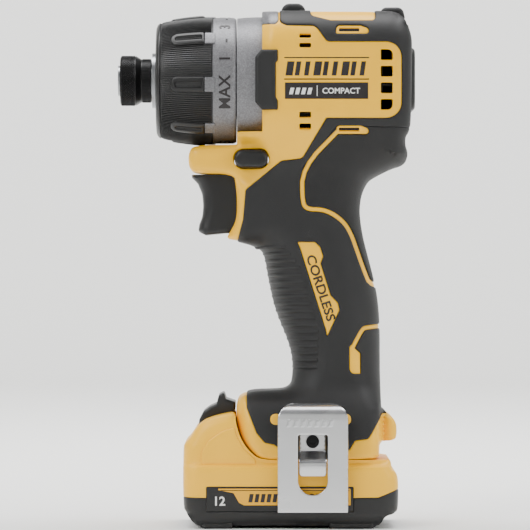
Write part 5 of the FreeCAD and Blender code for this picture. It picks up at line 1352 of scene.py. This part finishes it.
@dataclass
class Pack:
    """The battery pack: yellow cover on a black base, side labels and the release button."""

    half: float = 31.0
    tower_half: float = 27.9
    tuck: float = 1.6

    @staticmethod
    def outline() -> Array:
        """The pack's side view."""
        points = [(-35.9, 9.4), (-34.6, 7.0), (-31.5, 2.6), (-30.0, 1.2), (-28.6, 1.2), (-27.9, 0.0),
                  (-15.9, 0.0), (-14.9, 1.2), (27.0, 1.2), (28.0, 0.0), (46.6, 0.0), (47.6, 1.2),
                  (49.6, 1.6), (51.2, 5.6), (56.4, 6.6), (57.4, 9.4), (57.4, 21.0), (56.4, 24.4),
                  (54.4, 25.4), (54.2, 29.2), (53.0, 29.8), (5.0, 29.7), (0.0, 29.9), (-4.4, 30.7),
                  (-10.2, 37.0), (-13.15, 45.4), (-13.2, 50.4), (-18.0, 49.5), (-23.3, 48.2),
                  (-27.0, 46.6), (-30.2, 43.6), (-33.0, 38.9), (-35.2, 37.0), (-35.9, 34.6)]
        return resampled(softened(points, 2, closed=True), 0.9)

    def width(self, points: Array) -> Array:
        """The half width before rounding."""
        z = points[:, 1]
        step = (self.half - self.tower_half) * smooth_step(z, 26.2, 28.4)
        return self.half - step - self.tuck * (1 - smooth_step(z, 0.0, 6.5))

    @staticmethod
    def edges() -> tuple[Edge, ...]:
        """The runs that are rounded over."""
        front = Edge(((-35.9, -10, 7, 7), (-35.9, 34.6, 7, 7), (-35.2, 37.0, 6.5, 6.5),
                      (-33.0, 38.9, 6.5, 5), (-30.2, 43.6, 6.5, 4.5), (-27.0, 46.6, 6.5, 4.2),
                      (-23.3, 48.2, 6.5, 4), (-18.0, 49.5, 6, 3.6), (-13.2, 50.4, 6, 3.4),
                      (-8, 51, 5, 3)))
        rear = Edge(((57.4, -10, 7, 7), (57.4, 21.0, 7, 7), (56.4, 24.4, 6, 6), (54.4, 25.4, 5, 5),
                     (54.2, 29.2, 4, 4), (53.9, 40, 4, 4)), 2)
        low = Edge(((-50, 1.2, 4, 3.4), (70, 1.2, 4, 3.4)), 0)
        return front, rear, low

    @staticmethod
    def seam(points: Array) -> Array:
        """How near the middle the halves come: the button's pocket stays open."""
        x, z = points[:, 0], points[:, 1]
        pocket = (x > -30.0) & (x < -13.9) & (z > 36.0)
        return np.where(pocket, 14.4, 0.0)

    @staticmethod
    def lines() -> dict[str, Array]:
        """The named lines of the side view."""
        return {
            "plate": rectangle(-25.8, 7.6, 37.8, 18.3, 0.6),
            "base": rounded([(-50, 14.0, 0), (-27.0, 13.5, 0.5), (38.6, 13.5, 0.5), (48.4, 13.6, 1.0),
                             (57.0, 17.0, 0.5), (70, 17.4, 0), (70, -10, 0), (-50, -10, 0)]),
        }

    def build(self) -> None:
        """Makes the pack's pieces."""
        lines = self.lines()
        relief = Relief(self.outline(), self.edges(), self.width, list(lines.values()), 1.4, self.seam)
        centres = relief.patch.centres
        kind = np.full(len(centres), "cover", dtype="<U8")
        kind[inside(centres, lines["base"])] = "base"
        kind[inside(centres, lines["plate"])] = "plate"
        for label, finish, slot, stands, proud in (
                ("cover", YELLOW, "yellow_plastic", ["pack_cover"], 0.0),
                ("base", BLACK, "black_plastic", ["pack_base"], 0.0),
                ("plate", BLACK, "label_film", ["pack_labels"], 0.1)):
            half = relief.area(Area(label, proud, 2.0, 0.5, 0.25), kind == label)
            Dress(finish, "battery", slot).piece(f"pack_{label}_look", both_sides(half), *stands)
        self.mouldings()
        self.graphics()
        self.button()

    def mouldings(self) -> None:
        """The raised arch on the tower, and the rail and feet of the base."""
        arch = plate(rounded([
            (-28.0, 27.6, 0.8), (-28.0, 33.0, 4.0), (-25.0, 38.0, 5.0), (-19.6, 42.0, 6.0),
            (-13.6, 44.0, 0.8), (-12.6, 40.0, 3.0), (-9.6, 34.6, 4.0), (-4.6, 30.0, 3.0),
            (-4.0, 27.6, 0.8)]),
            self.tower_half + 0.7, self.tower_half - 1.0, 0.6)
        Dress(YELLOW, "battery", "yellow_plastic").piece("tower_arch", both_sides(arch))
        rail = plate(rounded([(-26.0, 4.9, 0.8), (47.6, 4.9, 0.8), (46.4, 7.0, 0.9), (-24.6, 7.0, 0.9)]),
                     30.7, 27.0, 0.6)
        feet = [plate(rounded([(x0, 0.02, 0.8), (x1, 0.02, 0.8), (x1, 3.9, 1.2), (x0, 3.9, 1.2)]),
                      29.4, 24.0, 0.7) for x0, x1 in ((-27.4, -14.4), (27.4, 46.4))]
        Dress(BLACK, "battery", "black_plastic").piece("base_rail", both_sides(rail, *feet))

    def graphics(self) -> None:
        """The label's amber field, its plain bars and lines."""
        face = self.half + 0.1
        field_line = rounded([(-20.6, 17.5, 0.2), (36.6, 17.5, 0.4), (36.6, 10.3, 0.4), (-9.4, 10.3, 0.5),
                              (-11.6, 11.4, 0.8), (-14.0, 15.6, 0.8), (-20.6, 16.9, 0.1)], 1.5)
        amber = plate(field_line, face + 0.08, face - 0.6)
        thin_line = plate(rectangle(-19.6, 16.55, 36.0, 16.85, 0.0, 3), face + 0.13, face - 0.4)
        bars = [plate(rounded([(x, 11.6, 0.1), (x + 1.7, 11.6, 0.1), (x + 2.3, 15.2, 0.1),
                               (x + 0.6, 15.2, 0.1)], 2), face + 0.14, face - 0.4)
                for x in np.arange(-7.6, 32.0, 2.6)]
        number = word_on_sides("12", 5.4, (-20.2, -face - 0.05, 11.9))
        Dress(AMBER_INK, "battery", "label_film").piece("label_field", both_sides(amber))
        Dress(BLACK_INK, "battery", "label_film").piece("label_bars", both_sides(thin_line, *bars))
        Dress(WHITE_INK, "battery", "label_film").piece("label_number", together(number))

    def button(self) -> None:
        """The release button with its thumb ridge."""
        outline = rounded([
            (-29.2, 42.6, 0.5), (-29.2, 46.4, 2.5), (-27.2, 50.2, 3.0), (-24.4, 52.2, 3.0),
            (-21.6, 53.4, 0.6), (-20.6, 57.2, 1.0), (-18.3, 58.5, 0.8), (-17.4, 55.6, 0.8),
            (-13.3, 54.2, 0.5), (-13.3, 50.9, 0.4), (-13.9, 50.7, 0.3), (-13.9, 42.6, 0.5)], 0.5)
        rows = tuple((x, z, 1.2, 1.0) for x, z in [*outline[::2], outline[0]])
        button = Relief(outline, (Edge(rows, 1),), level(13.9), (), 0.9)
        Dress(BLACK, "release_button", "black_plastic").piece("release_button_look", button.whole(),
                                                              "release_button")


@dataclass
class Hook:
    """The belt hook, one strip of plated sheet bent over and curled back."""

    middle: float = 20.2
    sheet: float = 1.6
    outer: float = -37.0
    inner: float = -25.4
    low: float = 7.5
    top: float = 53.6
    half: float = 15.15
    corner: float = 6.5
    screw_height: float = 37.6
    leg_rows: int = 24
    bend_rows: int = 25

    def path(self) -> Array:
        """The strip's middle line as rows of (y, z), from the outer leg's foot to the curl's end."""
        reach = (self.inner - self.outer) / 2
        centre = (self.inner + self.outer) / 2
        bend = [(centre - reach * math.cos(a), self.top - reach + reach * math.sin(a))
                for a in np.linspace(0, math.pi, self.bend_rows)]
        leg = [(self.outer, z) for z in np.linspace(self.low, self.top - reach - 0.5, self.leg_rows)]
        curl = softened([(self.inner, 34.5), (self.inner, 32.6), (-32.9, 29.6), (-33.9, 28.4),
                         (-33.4, 23.0)], 3)
        return np.vstack((leg, bend, [(self.inner, 44.0), (self.inner, 40.0)], curl))

    def build(self) -> None:
        """Makes the hook and its embossed bars."""
        line = self.path()
        steps = np.linalg.norm(np.diff(line, axis=0), axis=1)
        length = np.concatenate(([0], np.cumsum(steps)))
        crest = self.leg_rows + self.bend_rows // 2
        turn, end = length[crest], length[-1]
        half, corner = self.half, self.corner
        angles = np.linspace(0, math.pi / 2, 12)
        heights = self.top - corner + corner * np.sin(angles)
        rise = np.interp(heights, line[:crest + 1, 1], length[:crest + 1])
        shoulder = [(half - corner + corner * math.cos(a), float(v), 0) for a, v in zip(angles, rise)]
        outline = rounded([
            (-half, 0, 0.4), (half, 0, 0.4), *shoulder, (6.0, turn + 3.0, 1.0), (6.0, end, 1.5),
            (-6.0, end, 1.5), (-6.0, turn + 3.0, 1.0), *[(-u, v, r) for u, v, r in shoulder[::-1]]], 0.8)
        foot, head = 15.1 - self.low, 41 - self.low
        window = rounded([(-6.4, foot, 6.2), (6.4, foot, 6.2), (6.4, head, 0.8), (-6.4, head, 0.8)])
        inner_rows = np.where(line[:, 0] > self.inner - 0.01)[0]
        at = float(np.interp(-self.screw_height, -line[inner_rows, 1], length[inner_rows]))
        angles = np.linspace(0, 2 * math.pi, 25)[:-1]
        hole = np.stack((2.2 * np.cos(angles), at + 2.2 * np.sin(angles)), axis=1)
        patch = Patch(outline, (window, hole), 1.1, (0.12, 0.35))
        chosen = ~(inside(patch.centres, window) | inside(patch.centres, hole))
        flat = patch.flat
        y = np.interp(flat[:, 1], length, line[:, 0])
        z = np.interp(flat[:, 1], length, line[:, 1])
        along = np.gradient(line, axis=0)
        along /= np.linalg.norm(along, axis=1)[:, None]
        side_y = np.interp(flat[:, 1], length, -along[:, 1])
        side_z = np.interp(flat[:, 1], length, along[:, 0])
        edge = np.minimum(patch.edge_distance(chosen),
                          nearest(flat, outline, np.roll(outline, -1, axis=0))[0])
        thick = self.sheet / 2 - over(edge, 0.35, 0.35)
        x = flat[:, 0] + self.middle
        top = np.stack((x, y + side_y * thick, z + side_z * thick), axis=1)
        low = np.stack((x, y - side_y * thick, z - side_z * thick), axis=1)
        dress = Dress(PLATED, "housing", "hook_steel", 30)
        dress.piece("belt_hook_look", patch.solid(chosen, top, low), "belt_hook")
        bars = [plate(rounded([(8.6 + 3.0 * i, 44.2, 0.3), (10.6 + 3.0 * i, 44.2, 0.3),
                               (11.5 + 3.0 * i, 47.6, 0.3), (9.5 + 3.0 * i, 47.6, 0.3)], 0.8),
                      -self.outer + 0.8 + 0.22, -self.outer + 0.4, 0.2, 1.0) for i in range(7)]
        dress.piece("hook_emboss", together(bars))


def dress_rest() -> None:
    """Gives every CAD node that still shows the finish of its slot."""
    slots = {part["node"]: part["material_slot"] for part in frame["record"]["subparts"]}
    for name, node in frame["nodes"].items():
        finish = SLOT_FINISH[slots[name]]
        node.data.materials.clear()
        node.data.materials.append(finish.build())


# ------------------------------------------------------------------------------------ the studio
@dataclass(frozen=True)
class Studio:
    """A pale bowl of a floor, soft lights and the camera, in metres."""

    world_light: float = 0.24
    floor_radius: float = 1.9
    curve_radius: float = 0.6
    wall_top: float = 1.7
    camera_place: tuple[float, float, float] = (-0.0004, -1.6, 0.114)
    lens: float = 247.0

    def build(self) -> None:
        """Sets the stage."""
        self.sweep()
        self.lamp("key", (-0.8, -0.9, 1.0), 0.6, 11.0)
        self.lamp("fill", (1.0, -0.8, 0.5), 0.6, 3.5)
        self.lamp("top", (0.1, 0.1, 1.1), 0.7, 3.0)
        self.lamp("back", (0.0, 0.35, 1.5), 1.6, 75.0, (0.0, 2.1, 0.5))
        self.lamp("front", (0.0, -0.35, 1.5), 1.6, 12.0, (0.0, -2.1, 0.5))
        world = bpy.data.worlds.new("studio")
        world.use_nodes = True
        back = world.node_tree.nodes["Background"]
        back.inputs["Color"].default_value = (1.0, 1.0, 1.0, 1.0)
        back.inputs["Strength"].default_value = self.world_light
        bpy.context.scene.world = world
        data = bpy.data.cameras.new("view")
        data.lens = self.lens
        data.sensor_width = 36.0
        camera = bpy.data.objects.new("view", data)
        camera.location = self.camera_place
        camera.rotation_euler = (math.pi / 2, 0, 0)
        bpy.context.scene.collection.objects.link(camera)
        bpy.context.scene.camera = camera

    def sweep(self) -> None:
        """The floor, curving up all round the tool and open above."""
        flat, bend = self.floor_radius, self.curve_radius
        profile = [(0.6, 0.0), (flat, 0.0)]
        profile += [(flat + bend * math.sin(a), bend - bend * math.cos(a))
                    for a in np.linspace(0.1, 1.57, 14)]
        profile.append((flat + bend, self.wall_top))
        sides = 96
        turns = [2 * math.pi * i / sides for i in range(sides)]
        verts = [(r * math.cos(a), r * math.sin(a), z) for r, z in profile for a in turns]
        faces = [(k * sides + i, (k + 1) * sides + i, (k + 1) * sides + (i + 1) % sides,
                  k * sides + (i + 1) % sides) for k in range(len(profile) - 1) for i in range(sides)]
        faces.append(tuple(range(sides)))
        mesh = bpy.data.meshes.new("floor")
        mesh.from_pydata(verts, [], faces)
        mesh.shade_smooth()
        mesh.materials.append(STUDIO.build())
        floor = bpy.data.objects.new("floor", mesh)
        bpy.context.scene.collection.objects.link(floor)

    def lamp(self, name: str, place: tuple[float, float, float], size: float, power: float,
             aim: tuple[float, float, float] = (0.0, 0.0, 0.11)) -> None:
        """A soft light that faces the tool, or whatever it is aimed at."""
        data = bpy.data.lights.new(name, "AREA")
        data.energy, data.size = power, size
        lamp = bpy.data.objects.new(name, data)
        lamp.location = place
        lamp.rotation_euler = (Vector(aim) - Vector(place)).to_track_quat("-Z", "Y").to_euler()
        bpy.context.scene.collection.objects.link(lamp)


def main() -> None:
    """Builds the looks round the frame."""
    logging.basicConfig(level=logging.INFO, format="%(name)s %(message)s")
    rings, tubes = RingGrower(), TubeGrower()
    case = Case()
    case.build()
    GripRibs(case.relief, tubes).build()
    Prints(case.relief).build()
    Nose().build()
    Dial(rings).build()
    Chuck(rings).build()
    Controls().build()
    Pack().build()
    Hook().build()
    dress_rest()
    Studio().build()


if __name__ == "__main__":
    main()
